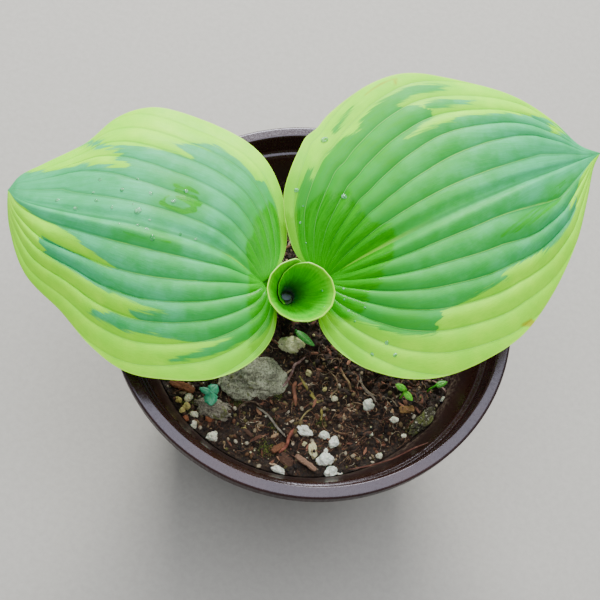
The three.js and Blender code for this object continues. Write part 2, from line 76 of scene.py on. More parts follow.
def alongSpline(controls, share):
    # The same spline, with share counted by arc length
    t = np.linspace(0, 1, 2001)
    steps = np.linalg.norm(np.diff(splineAt(controls, t), axis=0), axis=1)
    length = np.concatenate([[0], np.cumsum(steps)])
    return splineAt(controls, np.interp(share, length / length[-1], t))


def latticeNoise(points, size, seed=0):
    # Random values on a cubic lattice of the given cell size, blended smoothly, from -1 to 1
    table = np.random.default_rng(seed).random(4096) * 2 - 1
    p = np.asarray(points, float) / size
    cell = np.floor(p).astype(np.int64)
    f = p - cell
    f = f * f * (3 - 2 * f)
    total = 0
    for corner in np.ndindex(2, 2, 2):
        c = cell + corner
        pick = (c[..., 0] * 73856093 ^ c[..., 1] * 19349663 ^ c[..., 2] * 83492791) & 4095
        weight = np.prod(np.where(corner, f, 1 - f), axis=-1)
        total = total + weight * table[pick]
    return total


def evenAngles(count):
    # Angles of a full turn, starting at 0
    return np.linspace(0, 2 * np.pi, count, endpoint=False)


def gridQuads(rows, columns, closed=False):
    # Quads of a grid numbered row by row; a closed grid joins its last column to its first
    i, j = np.meshgrid(np.arange(rows - 1), np.arange(columns if closed else columns - 1), indexing="ij")
    k = (j + 1) % columns
    corners = [i * columns + j, (i + 1) * columns + j, (i + 1) * columns + k, i * columns + k]
    return np.stack(corners, axis=-1).reshape(-1, 4)


def shapeOf(points, quads, **values):
    # A shape is its points, its quads and named values for each point
    points = np.asarray(points, float).reshape(-1, 3)
    full = {key: np.broadcast_to(value, points.shape[:1]) if np.ndim(value) == 0 else np.ravel(value)
            for key, value in values.items()}
    return {"points": points, "quads": np.asarray(quads), "values": full}


def joined(shapes):
    # Several shapes as one, with their quads renumbered
    starts = np.cumsum([0] + [len(s["points"]) for s in shapes[:-1]])
    return {"points": np.concatenate([s["points"] for s in shapes]),
            "quads": np.concatenate([s["quads"] + start for s, start in zip(shapes, starts)]),
            "values": {key: np.concatenate([s["values"][key] for s in shapes]) for key in shapes[0]["values"]}}


def copies(shape, turns, places, **values):
    # A small shape repeated: its points turned by each 3x3 matrix and moved to each place, all at once
    count, size = len(places), len(shape["points"])
    points = np.einsum("nij,pj->npi", turns, shape["points"]) + np.asarray(places)[:, None]
    quads = shape["quads"][None] + (np.arange(count) * size)[:, None, None]
    full = {key: np.repeat(value, size) for key, value in values.items()}
    return {"points": points.reshape(-1, 3), "quads": quads.reshape(-1, shape["quads"].shape[1]), "values": full}


def sheet(points, thickness, **values):
    # A grid given thickness: half of it to each side along the grid's normals, and a strip round the edge.
    # A sheet that lies flat has its upper side first.
    # Where a whole row is one point, the next row's mean normal is used.
    rows, columns, _ = points.shape
    normals = unit(np.cross(np.gradient(points, axis=0), np.gradient(points, axis=1)))
    if normals[..., 2].mean() < -0.3:
        normals = -normals
    for row, beside in ((0, 1), (-1, -2)):
        if np.ptp(points[row], axis=0).max() < 1e-6:
            normals[row] = unit(normals[beside].mean(axis=0))
    offset = normals * np.broadcast_to(thickness, (rows, columns))[..., None] / 2
    count = rows * columns
    edge = np.concatenate([np.arange(columns), np.arange(1, rows) * columns + columns - 1,
                           (rows - 1) * columns + np.arange(columns - 2, -1, -1),
                           np.arange(rows - 2, 0, -1) * columns])
    after = np.roll(edge, -1)
    quads = gridQuads(rows, columns)
    strip = np.stack([edge, after, after + count, edge + count], axis=-1)
    both = {key: np.tile(np.ravel(np.broadcast_to(value, (rows, columns))), 2) for key, value in values.items()}
    both["under"] = np.repeat([0.0, 1.0], count)
    return shapeOf(np.concatenate([(points + offset).reshape(-1, 3), (points - offset).reshape(-1, 3)]),
                   np.concatenate([quads, quads[:, ::-1] + count, strip]), **both)


def tube(path, reach, across, **values):
    # Rings round a path. reach holds the radius for each ring and each step round it.
    # The ring's upper side is across x tangent, and both ends close on the path.
    path = np.asarray(path, float)
    rings = len(path)
    sides = reach.shape[1]
    tangent = unit(np.gradient(path, axis=0))
    upper = unit(np.cross(np.broadcast_to(across, path.shape), tangent))
    beside = np.cross(tangent, upper)
    angle = evenAngles(sides)
    ring = path[:, None] + reach[..., None] * (upper[:, None] * np.cos(angle)[None, :, None]
                                               + beside[:, None] * np.sin(angle)[None, :, None])
    ends = [np.broadcast_to(path[k], (1, sides, 3)) for k in (0, -1)]
    points = np.concatenate([ends[0], ring, ends[1]])
    full = {key: np.ravel(np.broadcast_to(np.asarray(value, float).reshape(-1, 1) if np.ndim(value) else value,
                                          (rings, sides))) for key, value in values.items()}
    full = {key: np.concatenate([value[:sides], value, value[-sides:]]) for key, value in full.items()}
    return shapeOf(points, gridQuads(rings + 2, sides, closed=True), **full)


def ball(rows, columns):
    # Unit ball from pole to pole as a grid closed round its axis
    polar, turn = np.meshgrid(np.linspace(0, np.pi, rows), evenAngles(columns), indexing="ij")
    points = np.stack([np.sin(polar) * np.cos(turn), np.sin(polar) * np.sin(turn), np.cos(polar)], axis=-1)
    return points.reshape(-1, 3), gridQuads(rows, columns, closed=True)


def turned(degrees):
    # 3x3 matrices for turns about z
    a = np.radians(np.atleast_1d(degrees))
    zero, one = np.zeros_like(a), np.ones_like(a)
    return np.stack([np.cos(a), -np.sin(a), zero, np.sin(a), np.cos(a), zero, zero, zero, one],
                    axis=-1).reshape(-1, 3, 3)


def anyTurns(count, dice):
    # Random turns, from random unit quaternions
    w, x, y, z = unit(dice.normal(size=(count, 4))).T
    return np.stack([1 - 2 * (y * y + z * z), 2 * (x * y - w * z), 2 * (x * z + w * y),
                     2 * (x * y + w * z), 1 - 2 * (x * x + z * z), 2 * (y * z - w * x),
                     2 * (x * z - w * y), 2 * (y * z + w * x), 1 - 2 * (x * x + y * y)], axis=-1).reshape(-1, 3, 3)


def pieceName(first, second):
    return first + second.capitalize()


def makePiece(name, shape, material, nodes=(), sharp=50):
    # Puts a shape into a mesh, merges doubled points, turns the faces out and dresses the piece
    mesh = bpy.data.meshes.new(name)
    mesh.from_pydata((shape["points"] * mm).tolist(), [], shape["quads"].tolist())
    for key, values in shape["values"].items():
        mesh.attributes.new(key, "FLOAT", "POINT").data.foreach_set("value", values.astype(np.float32))
    build = bmesh.new()
    build.from_mesh(mesh)
    bmesh.ops.remove_doubles(build, verts=build.verts, dist=2e-7)
    bmesh.ops.recalc_face_normals(build, faces=build.faces)
    build.to_mesh(mesh)
    build.free()
    mesh.shade_smooth()
    mesh.set_sharp_from_angle(angle=math.radians(sharp))
    mesh.materials.append(material)
    piece = bpy.data.objects.new(name, mesh)
    bpy.context.scene.collection.objects.link(piece)
    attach(piece, "root")
    if nodes:
        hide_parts(*nodes)
    return piece


# ---- material building ----

def hexColour(text):
    # sRGB hex to the linear values that a shader's colour takes
    channels = [int(text[k:k + 2], 16) / 255 for k in (0, 2, 4)]
    return tuple(c / 12.92 if c <= 0.04045 else ((c + 0.055) / 1.055) ** 2.4 for c in channels) + (1.0,)


class Finish:
    # A material under construction: each method adds one node and gives back its output
    def __init__(self, name):
        self.material = bpy.data.materials.new(name)
        self.material.use_nodes = True
        self.tree = self.material.node_tree
        self.shader = self.tree.nodes["Principled BSDF"]

    def node(self, kind, inputs=(), **settings):
        made = self.tree.nodes.new(kind)
        for key, value in settings.items():
            setattr(made, key, value)
        for socket, value in dict(inputs).items():
            if isinstance(value, bpy.types.NodeSocket):
                self.tree.links.new(value, made.inputs[socket])
            else:
                made.inputs[socket].default_value = value
        return made

    def place(self, stretch=(1, 1, 1), turn=0):
        # object coordinates in millimetres, stretched
        coordinates = self.node("ShaderNodeTexCoord").outputs["Object"]
        scale = tuple(s / mm for s in stretch)
        return self.node("ShaderNodeMapping", {"Vector": coordinates, "Scale": scale,
                                               "Rotation": (0, 0, math.radians(turn))}).outputs["Vector"]

    def value(self, name):
        # a value that the mesh holds for each point
        return self.node("ShaderNodeAttribute", attribute_name=name).outputs["Fac"]

    def vector(self, x=0.0, y=0.0, z=0.0):
        return self.node("ShaderNodeCombineXYZ", {"X": x, "Y": y, "Z": z}).outputs["Vector"]

    def noise(self, vector, size, detail=3.0, rough=0.55, twist=0.0):
        return self.node("ShaderNodeTexNoise", {"Vector": vector, "Scale": 1 / size, "Detail": detail,
                                                "Roughness": rough, "Distortion": twist}).outputs["Fac"]

    def cells(self, vector, size):
        # distance to the nearest of scattered points
        return self.node("ShaderNodeTexVoronoi", {"Vector": vector, "Scale": 1 / size}).outputs["Distance"]

    def math(self, operation, a, b=0.0, c=0.0):
        return self.node("ShaderNodeMath", {0: a, 1: b, 2: c}, operation=operation).outputs[0]

    def plus(self, a, b):
        return self.math("ADD", a, b)

    def times(self, a, b):
        return self.math("MULTIPLY", a, b)

    def between(self, value, low, high, toLow=0.0, toHigh=1.0):
        # toLow at low and toHigh at high, smoothly between, held outside
        return self.node("ShaderNodeMapRange", {"Value": value, "From Min": low, "From Max": high, "To Min": toLow,
                                                "To Max": toHigh}, interpolation_type="SMOOTHSTEP").outputs["Result"]

    def mix(self, share, a, b):
        # colour a where share is 0 and b where it is 1
        made = self.node("ShaderNodeMix", data_type="RGBA")
        for socket, value in ((0, share), (6, a), (7, b)):
            if isinstance(value, bpy.types.NodeSocket):
                self.tree.links.new(value, made.inputs[socket])
            else:
                made.inputs[socket].default_value = hexColour(value) if isinstance(value, str) else value
        return made.outputs[2]

    def ramp(self, share, stops):
        # colour from stops of (share, colour)
        made = self.node("ShaderNodeValToRGB", {"Fac": share})
        elements = made.color_ramp.elements
        while len(elements) < len(stops):
            elements.new(0.5)
        for element, (position, colour) in zip(elements, stops):
            element.position = position
            element.color = hexColour(colour)
        return made.outputs["Color"]

    def bump(self, height, distance, strength):
        return self.node("ShaderNodeBump", {"Height": height, "Distance": distance * mm,
                                            "Strength": strength}).outputs["Normal"]

    def dress(self, **inputs):
        # sockets of the shader by name, underscores for spaces
        for key, value in inputs.items():
            socket = self.shader.inputs[key.replace("_", " ")]
            if isinstance(value, bpy.types.NodeSocket):
                self.tree.links.new(value, socket)
            else:
                socket.default_value = hexColour(value) if isinstance(value, str) else value
        return self.material


# ---- camera, floor and light ----

sight = {
    "target": (-5.2, -2.4, 112.0),  # mm, the picture's middle at the rim's height
    "distance": 413.0,
    "elevation": 65.0,
    "roll": 0.273,
    "lens": 63.0,
}


def makeCamera():
    # Looks down at the target from the front, rolled about its own axis
    e = math.radians(sight["elevation"])
    back = np.array([0, -math.cos(e), math.sin(e)])
    right = np.array([1.0, 0, 0])
    up = np.cross(back, right)
    c, s = math.cos(sight["roll"]), math.sin(sight["roll"])
    axes = np.stack([c * right + s * up, -s * right + c * up, back], axis=1)
    place = (np.array(sight["target"]) + sight["distance"] * back) * mm
    data = bpy.data.cameras.new("camera")
    data.lens = sight["lens"]
    data.sensor_width = 36.0
    data.clip_start = 0.01
    camera = bpy.data.objects.new("camera", data)
    camera.matrix_world = Matrix.Translation(place) @ Matrix(axes.tolist()).to_4x4()
    bpy.context.scene.collection.objects.link(camera)
    bpy.context.scene.camera = camera


studio = {
    "floor": "a9a7a1",
    "world": (0.93, 0.95, 1.0, 1.0),
    "worldStrength": 0.55,
    "lamps": [  # name, place and aim in mm, size in mm, watts, colour
        ("farSoftbox", (-250, 960, 840), (-10, 0, 130), 520, 28.0, (1.0, 0.985, 0.95)),
        ("overhead", (0, 150, 1300), (0, 20, 110), 1150, 21.5, (0.94, 0.96, 1.0)),
    ],
}


def makeStudio():
    # Pale floor a little rough, a pale sky all round, and soft rectangular lamps
    size, steps = 4000.0, 3
    x, y = np.meshgrid(np.linspace(-size, size, steps), np.linspace(-size, size, steps), indexing="ij")
    mesh = bpy.data.meshes.new("floor")
    mesh.from_pydata((np.stack([x, y, 0 * x], axis=-1).reshape(-1, 3) * mm).tolist(), [],
                     gridQuads(steps, steps).tolist())
    floor = bpy.data.objects.new("floor", mesh)
    bpy.context.scene.collection.objects.link(floor)
    finish = Finish("paleFloor")
    spots = finish.noise(finish.place(), 3.0, 6, 0.7)
    mesh.materials.append(finish.dress(
        Base_Color=finish.mix(finish.between(spots, 0.3, 0.7), "a2a09a", studio["floor"]),
        Roughness=0.9, Normal=finish.bump(spots, 0.2, 0.3)))
    world = bpy.data.worlds.new("studio")
    world.use_nodes = True
    world.node_tree.nodes["Background"].inputs["Color"].default_value = studio["world"]
    world.node_tree.nodes["Background"].inputs["Strength"].default_value = studio["worldStrength"]
    bpy.context.scene.world = world
    for name, place, aim, size, watts, colour in studio["lamps"]:
        data = bpy.data.lights.new(name, "AREA")
        data.size = size * mm
        data.energy = watts
        data.color = colour
        lamp = bpy.data.objects.new(name, data)
        back = unit(np.array(place, float) - np.array(aim, float))
        right = unit(np.cross([0, 1, 0] if abs(back[2]) > 0.99 else [0, 0, 1], back))
        axes = np.stack([right, np.cross(back, right), back], axis=1)
        lamp.matrix_world = Matrix.Translation(np.array(place) * mm) @ Matrix(axes.tolist()).to_4x4()
        bpy.context.scene.collection.objects.link(lamp)


makeCamera()
makeStudio()
print("camera, floor and light set")


# ---- pot ----

potSizes = {
    "height": 112.0,
    "rim": 80.0,
    "base": 51.0,
    "wall": 2.0,
    "lipWidth": 4.8,
    "lipDrop": 6.8,
    "ledgeDepth": 9.0,
    "holes": {"radius": 4.5, "circle": 30.0, "count": 5},
    "sides": 240,
    "thicker": (2.4, 14.0),  # most, and how far up and down it reaches
    "slopes": (0.37, 0.2),  # the inner wall's run to rise above and below the mix
    "heldBelow": 95.0,
}
mixSizes = {
    "level": 84.0,
    "mound": 2.5,
    "hollows": [{"x": 52.0, "y": -6.0, "spread": 12.0, "depth": 4.0},
                {"x": 50.0, "y": -44.0, "spread": 13.0, "depth": 3.2}],
    "gap": 0.3,
    "rows": 140,
    "sides": 560,
    "fade": 1.4,  # width by the wall where the crumbling fades
    "underRings": [(76, 0.3), (60, 0.8), (30, 1.0), (5.2, 1.1), (3.1, 2.6)],  # height, further inside the wall
    "litterLevel": 83.0,
    "crumbs": 5200,
    "splinters": 1600,
}


def wallRadius(z):
    # Inner radius of the pot's wall: it narrows evenly from the ledge down, and a bell curve round the mix's level
    # makes the wall thicker there
    s = potSizes
    share = z / (s["height"] - s["ledgeDepth"])
    most, spread = s["thicker"]
    thicker = most * np.exp(-((z - mixSizes["level"]) / spread) ** 2)
    return s["base"] + (s["rim"] - s["lipWidth"] - 2 - s["base"]) * share - s["wall"] - thicker


def heldInside(shape, gap=0.3):
    # Presses points that lie past the pot's wall back to just inside it; the wall's two slopes meet at the mix
    points = shape["points"].copy()
    level = mixSizes["level"]
    slope = np.where(points[:, 2] > level, *potSizes["slopes"])
    limit = wallRadius(level) + slope * (points[:, 2] - level) - gap
    reach = np.hypot(points[:, 0], points[:, 1])
    past = (reach > limit) & (points[:, 2] < potSizes["heldBelow"])
    points[past, :2] *= (limit / np.maximum(reach, 1e-6))[past, None]
    return {**shape, "points": points}


def potMaterial(name, inside):
    # Glossy moulded brown plastic: soft waves in the gloss, fine scratches, and dried specks of dirt, thicker on
    # the inner wall just above the mix. The outer side is duller.
    finish = Finish(name)
    place = finish.place()
    height = finish.node("ShaderNodeSeparateXYZ", {"Vector": place}).outputs["Z"]
    wide = finish.noise(place, 26, 4, 0.6)
    fine = finish.noise(place, 1.4, 5, 0.65)
    streaks = finish.noise(finish.place((1, 1, 0.08)), 1.1, 4, 0.7)
    specks = finish.between(finish.noise(place, 0.9, 6, 0.75), 0.62, 0.7)
    crust = finish.times(specks, finish.between(wide, 0.45, 0.66))
    if inside:
        splash = finish.times(finish.between(height, 92, 84), finish.between(fine, 0.46, 0.6))
        crust = finish.math("MAXIMUM", crust, splash)
    plastic = finish.mix(finish.between(wide, 0.25, 0.75), "210f0a", "2e160e")
    plastic = finish.mix(finish.times(finish.between(fine, 0.55, 0.75), 0.35), plastic, "4a2a1c")
    dirt = finish.mix(finish.between(fine, 0.35, 0.65), "2c2018", "6a5a46")
    rough = finish.plus(finish.between(streaks, 0.35, 0.75, 0.2, 0.34), finish.times(crust, 0.5))
    if inside:
        rough = finish.plus(rough, finish.between(height, 102, 92, 0.0, 0.24))
    else:
        rough = finish.plus(rough, 0.22)
    return finish.dress(Base_Color=finish.mix(crust, plastic, dirt), Roughness=rough, IOR=1.54 if inside else 1.33,
                        Specular_Tint=(0.78, 0.79, 0.95, 1.0),
                        Normal=finish.bump(finish.plus(finish.times(wide, 1.4), crust), 0.12, 0.2))


def roundedProfile(corners, steps=6):
    # A profile of straight runs whose corners are replaced by quadratic arcs of the given radius.
    # Points close to each arc's ends keep the shading of the straight runs even.
    points = [np.array(corners[0][:2], float)]
    for before, corner, after in zip(corners, corners[1:], corners[2:]):
        a, b, c = (np.array(k[:2], float) for k in (before, corner, after))
        cut = min(corner[2], 0.42 * np.linalg.norm(b - a), 0.42 * np.linalg.norm(c - b))
        start = b + unit(a - b) * cut
        end = b + unit(c - b) * cut
        t = np.linspace(0, 1, steps)[:, None]
        arc = (1 - t)**2 * start + 2 * t * (1 - t) * b + t**2 * end
        points.extend([start + unit(a - b) * 0.12, *arc, end + unit(c - b) * 0.12])
    points.append(np.array(corners[-1][:2]))
    return np.array(points)


def spun(profile, sides):
    # A profile of (radius, height) carried round the z axis
    angle = evenAngles(sides)
    r, z = profile[:, :1], profile[:, 1:]
    points = np.stack([r * np.cos(angle), r * np.sin(angle), np.broadcast_to(z, (len(profile), sides))], axis=-1)
    return shapeOf(points, gridQuads(len(profile), sides, closed=True))


def makePot():
    # The wall's profile as radius, height and corner radius, from under the floor round the lip to the floor's top
    s, level = potSizes, mixSizes["level"]
    lipFoot, ledge, inner = s["height"] - s["lipDrop"], s["height"] - s["ledgeDepth"], s["rim"] - s["lipWidth"]
    corners = [(0, 0, 0), (s["base"], 0, 1.6), (inner - 2.2, ledge - 3, 3), (inner + 0.8, lipFoot, 0.8),
               (s["rim"] - 0.35, lipFoot, 0.9), (s["rim"], s["height"], 1.15), (inner, s["height"], 0.8),
               (inner - 1.5, ledge, 0.9), (inner - 3.8, ledge - 0.8, 0.9), (wallRadius(level), level, 4),
               (s["base"] - s["wall"] + 0.4, s["wall"] + 0.9, 1.6), (0, s["wall"] + 0.6, 0)]
    profile = roundedProfile(corners)
    extra = [profile[0]]
    for a, b in zip(profile, profile[1:]):
        count = max(1, int(np.linalg.norm(b - a) / 7))
        extra.extend(a + (b - a) * k / count for k in range(1, count + 1))
    pot = makePiece("potShell", spun(np.array(extra), s["sides"]), potMaterial("brownPotInside", True),
                    ["pot"], sharp=60)
    pot.data.materials.append(potMaterial("brownPotOutside", False))
    for face in pot.data.polygons:
        if face.normal.xy.dot(face.center.xy) > 0.5 * face.center.xy.length or face.center.z < 1 * mm:
            face.material_index = 1
    holes = s["holes"]
    for k in range(holes["count"]):
        turn = 2 * math.pi * (k + 0.5) / holes["count"]
        drillPath = [[holes["circle"] * math.cos(turn), holes["circle"] * math.sin(turn), z] for z in (-6, 0, 6)]
        drill = makePiece("drill", tube(drillPath, np.full((3, 32), holes["radius"]), (1, 0, 0)), pot.data.materials[0])
        cut = pot.modifiers.new("hole", "BOOLEAN")
        cut.operation = "DIFFERENCE"
        cut.solver = "EXACT"
        cut.object = drill
        bpy.context.view_layer.objects.active = pot
        bpy.ops.object.modifier_apply(modifier="hole")
        bpy.data.objects.remove(drill)
    return pot


makePot()
print("pot made")


# ---- potting mix ----

def mixHeight(x, y):
    # A low mound, crossing waves for lumps that fade at the wall, and hollows by the right wall
    s = mixSizes
    outwards = np.hypot(x, y) / wallRadius(s["level"])
    lumps = (0.8 * np.sin(0.21 * x + 1.3) * np.cos(0.17 * y + 0.4) + 0.6 * np.sin(0.47 * x - 0.33 * y + 2)
             + 0.45 * np.cos(0.71 * x + 0.62 * y))
    sink = sum(h["depth"] * np.exp(-((x - h["x"])**2 + (y - h["y"])**2) / h["spread"]**2) for h in s["hollows"])
    return s["level"] + s["mound"] * (1 - outwards**2) + lumps * smoothStep(1.06 - outwards, 0, 0.3) - sink


def crumbling(x, y):
    # Small unevenness on top of the mix: lattice noise at four sizes, the ridged ones making crumbs
    p = np.stack([x, y, 0 * x], axis=-1)
    ridged = 1 - np.abs(latticeNoise(p, 3.1, 3)) * 2
    return (1.1 * latticeNoise(p, 6.5, 1) + 1.1 * ridged * latticeNoise(p, 5.2, 2)
            + 0.9 * latticeNoise(p, 2.1, 4) + 0.5 * latticeNoise(p, 1.0, 5) - 0.3)


def mixMaterial():
    # Dark peat with reddish brown fibre, small pale grains and darker patches
    finish = Finish("pottingMix")
    place = finish.place()
    wide = finish.noise(place, 14, 5, 0.6)
    fine = finish.noise(place, 1.2, 6, 0.7)
    fibre = finish.noise(finish.place((1, 0.16, 1), 35), 0.8, 5, 0.7, 1.6)
    across = finish.noise(finish.place((0.16, 1, 1), 10), 0.7, 5, 0.7, 1.4)
    base = finish.ramp(fine, [(0.28, "090604"), (0.44, "1e140d"), (0.58, "3a291b"), (0.76, "63503a")])
    red = finish.times(finish.between(fibre, 0.56, 0.7), finish.between(wide, 0.42, 0.6))
    base = finish.mix(finish.times(red, 0.75), base, "54301f")
    base = finish.mix(finish.times(finish.between(across, 0.62, 0.74), 0.5), base, "806047")
    grain = finish.between(finish.cells(place, 1.9), 0.16, 0.1)
    pale = finish.times(grain, finish.between(finish.noise(place, 4.0, 2), 0.6, 0.68))
    base = finish.mix(finish.times(pale, 0.7), base, "9c9078")
    rough = finish.between(finish.noise(place, 3.0, 4), 0.3, 0.7, 0.55, 0.95)
    return finish.dress(Base_Color=base, Roughness=rough, Normal=finish.bump(finish.plus(fine, fibre), 0.9, 0.8))


def makeMix():
    # Top rings out to the wall, then down the side and in along the underside to the middle
    s = mixSizes
    edge = wallRadius(s["level"]) - s["gap"] - 0.1
    r = edge * np.linspace(0, 1, s["rows"])[:, None] ** 0.9
    angle = evenAngles(s["sides"])[None]
    x, y = r * np.cos(angle), r * np.sin(angle)
    fade = smoothStep(edge - r, 0, s["fade"])
    top = np.stack([x, y, mixHeight(x, y) + crumbling(x, y) * fade - 0.3 * (1 - fade)], axis=-1)
    below = []
    for z, inwards in s["underRings"]:
        ring = wallRadius(z) - s["gap"] - inwards
        below.append(np.stack([ring * np.cos(angle), ring * np.sin(angle), np.full_like(angle, z)], axis=-1))
    below.append(np.broadcast_to([0, 0, s["underRings"][-1][0]], (1, s["sides"], 3)))
    points = np.concatenate([top] + below)
    bed = heldInside(shapeOf(points, gridQuads(len(points), s["sides"], closed=True)))
    return makePiece("pottingMixBed", bed, mixMaterial(), ["soil"], sharp=180)


def onMix(count, dice, inside=0.985):
    # Random places on the mix, even by area
    r = wallRadius(mixSizes["level"]) * inside * np.sqrt(dice.random(count))
    a = dice.random(count) * 2 * np.pi
    x, y = r * np.cos(a), r * np.sin(a)
    return x, y, mixHeight(x, y) + crumbling(x, y)


# stops: the colours by the value tint; grain: size, detail and roughness of a noise that darkens them in patches;
# shade: the noise's two bounds, the most share and the dark colour; relief: height in mm and strength
litterFinishes = {
    "crumb": {"stops": [(0.0, "120b07"), (0.3, "2a1b11"), (0.52, "482f1f"), (0.66, "6b442c"), (0.78, "5a5a2a"),
                        (0.88, "8a7452"), (1.0, "bdb49c")],
              "grain": (0.5, 4, 0.7), "shade": (0.35, 0.65, 0.5, "1a110b"), "roughness": 0.85, "relief": (0.3, 0.6)},
    "fibre": {"stops": [(0.0, "26180f"), (0.3, "4a2e1f"), (0.55, "6d4634"), (0.75, "8d6549"), (0.9, "a58a68"),
                        (1.0, "c9bda2")],
              "grain": (0.6, 3), "shade": (0.42, 0.66, 0.6, "1d130d"), "roughness": 0.75, "relief": (0.1, 0.5)},
    "splinter": {"stops": [(0.0, "2e1c11"), (0.35, "523422"), (0.6, "754a36"), (0.8, "96644c"), (0.92, "a88762"),
                           (1.0, "c8b698")],
                 "grain": (0.4, 4, 0.7), "shade": (0.4, 0.7, 0.55, "2a1a10"), "roughness": 0.8, "relief": (0.2, 0.7)},
    "moss": {"stops": [(0.0, "1f2a0c"), (0.45, "3f4d18"), (0.75, "66762a"), (1.0, "97a14a")],
             "grain": (0.7, 4, 0.7), "shade": (0.4, 0.7, 0.5, "2a3010"), "roughness": 0.8, "glow": 0.05},
}


def litterMaterial(name, kind):
    # Colour from the value tint, mixed with a darker one where a fine noise lies between two bounds
    finish, look, inputs = Finish(name), litterFinishes[kind], {}
    fine = finish.noise(finish.place(), *look["grain"])
    low, high, most, dark = look["shade"]
    base = finish.ramp(finish.value("tint"), look["stops"])
    base = finish.mix(finish.between(fine, low, high, 0.0, most), base, dark)
    if "relief" in look:
        inputs["Normal"] = finish.bump(fine, *look["relief"])
    if "glow" in look:
        inputs.update(Subsurface_Weight=look["glow"], Subsurface_Scale=0.001)
    return finish.dress(Base_Color=base, Roughness=look["roughness"], **inputs)


def makeCrumbs():
    # Small uneven balls of 5 by 6 points pressed into the surface: peat, bark dust, grit and ochre, most of them dark
    dice = np.random.default_rng(11)
    s = mixSizes
    x, y, z = onMix(s["crumbs"], dice)
    size = 0.28 + 1.15 * dice.random(s["crumbs"]) ** 3.0
    points, quads = ball(5, 6)
    points = points * (1 + 0.25 * latticeNoise(points, 0.7, 7)[:, None]) * [1, 0.8, 0.65]
    turns = anyTurns(s["crumbs"], dice) * size[:, None, None]
    places = np.stack([x, y, z + 0.15 * size], axis=-1)
    tint = dice.random(s["crumbs"])
    makePiece("mixCrumbs", copies(shapeOf(points, quads), turns, places, tint=tint),
              litterMaterial("mixCrumbs", "crumb"), sharp=180)


fibres = {
    "rootHairs": {"count": 1500, "radius": (0.08, 0.2), "flat": 1.0, "arch": 0.9, "slot": "root"},
    "barkPeels": {"count": 620, "radius": (0.28, 0.75), "flat": 0.28, "arch": 1.3, "slot": "bark"},
}
fibrePoints = 9


def makeHairs():
    # Fine roots and curled peels: each wanders over the surface in eight steps with a random bend, and arches up.
    # A peel is wide and thin, a root is round. Brown and reddish fibre with a few pale ones.
    dice = np.random.default_rng(23)
    for name, fibre in fibres.items():
        count, flat, (thin, thick) = fibre["count"], fibre["flat"], fibre["radius"]
        x, y, _ = onMix(count, dice, 0.95)
        heading = dice.random(count) * 2 * np.pi
        curl = dice.normal(0, 0.32, (count, 1)) + dice.normal(0, 0.3, (count, fibrePoints))
        bend = heading[:, None] + np.cumsum(curl, axis=1)
        step = (0.35 + 0.85 * dice.random(count) ** 2)[:, None]
        px = x[:, None] + np.cumsum(step * np.cos(bend), axis=1)
        py = y[:, None] + np.cumsum(step * np.sin(bend), axis=1)
        inside = np.minimum(1, wallRadius(mixSizes["litterLevel"]) * 0.98 / np.hypot(px, py))
        px, py = px * inside, py * inside
        share = np.linspace(0, 1, fibrePoints)[None]
        rise = fibre["arch"] * np.sin(np.pi * share) ** 0.8 * dice.random(count)[:, None] ** 1.5
        path = np.stack([px, py, mixHeight(px, py) + crumbling(px, py) + 0.1 + rise], axis=-1)
        radius = (thin + (thick - thin) * dice.random(count) ** 2)[:, None] * (1 - 0.55 * share**3)
        section = np.array([flat, 1.0, flat, 1.0])
        shapes = [tube(line, reach[:, None] * section, (0.1, 0.05, 1), tint=tint)
                  for line, reach, tint in zip(path, radius, dice.random(count))]
        makePiece(name, joined(shapes), litterMaterial(name, "fibre"), sharp=180)


def makeSplinters():
    # Flat slivers, each a flattened ball of 5 by 4 points, lying at a small slope
    dice = np.random.default_rng(31)
    s = mixSizes
    x, y, z = onMix(s["splinters"], dice, 0.95)
    points, quads = ball(5, 4)
    length = 0.5 + 2.4 * dice.random(s["splinters"]) ** 3
    width = length * (0.16 + 0.25 * dice.random(s["splinters"]))
    turns = turned(dice.random(s["splinters"]) * 360)
    tilt = dice.normal(0, 0.4, s["splinters"])
    lean = np.zeros((s["splinters"], 3, 3))
    lean[:, 1, 1] = 1
    lean[:, 0, 0] = lean[:, 2, 2] = np.cos(tilt)
    lean[:, 0, 2], lean[:, 2, 0] = np.sin(tilt), -np.sin(tilt)
    size = np.zeros((s["splinters"], 3, 3))
    size[:, 0, 0], size[:, 1, 1], size[:, 2, 2] = width * 0.4, width, length
    lay = np.array([[0, 0, 1], [0, 1, 0], [1, 0, 0]], float)  # the ball's poles become the sliver's ends
    places = np.stack([x, y, z + 0.25], axis=-1)
    shape = copies(shapeOf(points, quads), turns @ lean @ lay @ size, places, tint=dice.random(s["splinters"]))
    makePiece("barkSplinters", shape, litterMaterial("barkSplinters", "splinter"), sharp=40)


makeMix()
makeCrumbs()
makeHairs()
makeSplinters()
print("potting mix made")


# ---- leaves ----

leafSizes = {
    "thickness": 0.7,
    "ribs": 7,
    "ribHeight": 2.0,
    "camber": 2.5,
    "wave": (0.7, 3.5),
    "midribLag": 1.3,
    "rows": 150,
    "columns": 224,
    "petioleRadius": 2.4,
    "keelEnd": 0.45,
    "keelDepth": (2.9, 1.8),  # below the midrib at its start, and how much less at its end
    "driftShares": [0.1, 0.2, 0.3, 0.4, 0.5, 0.6, 0.7, 0.8],
}

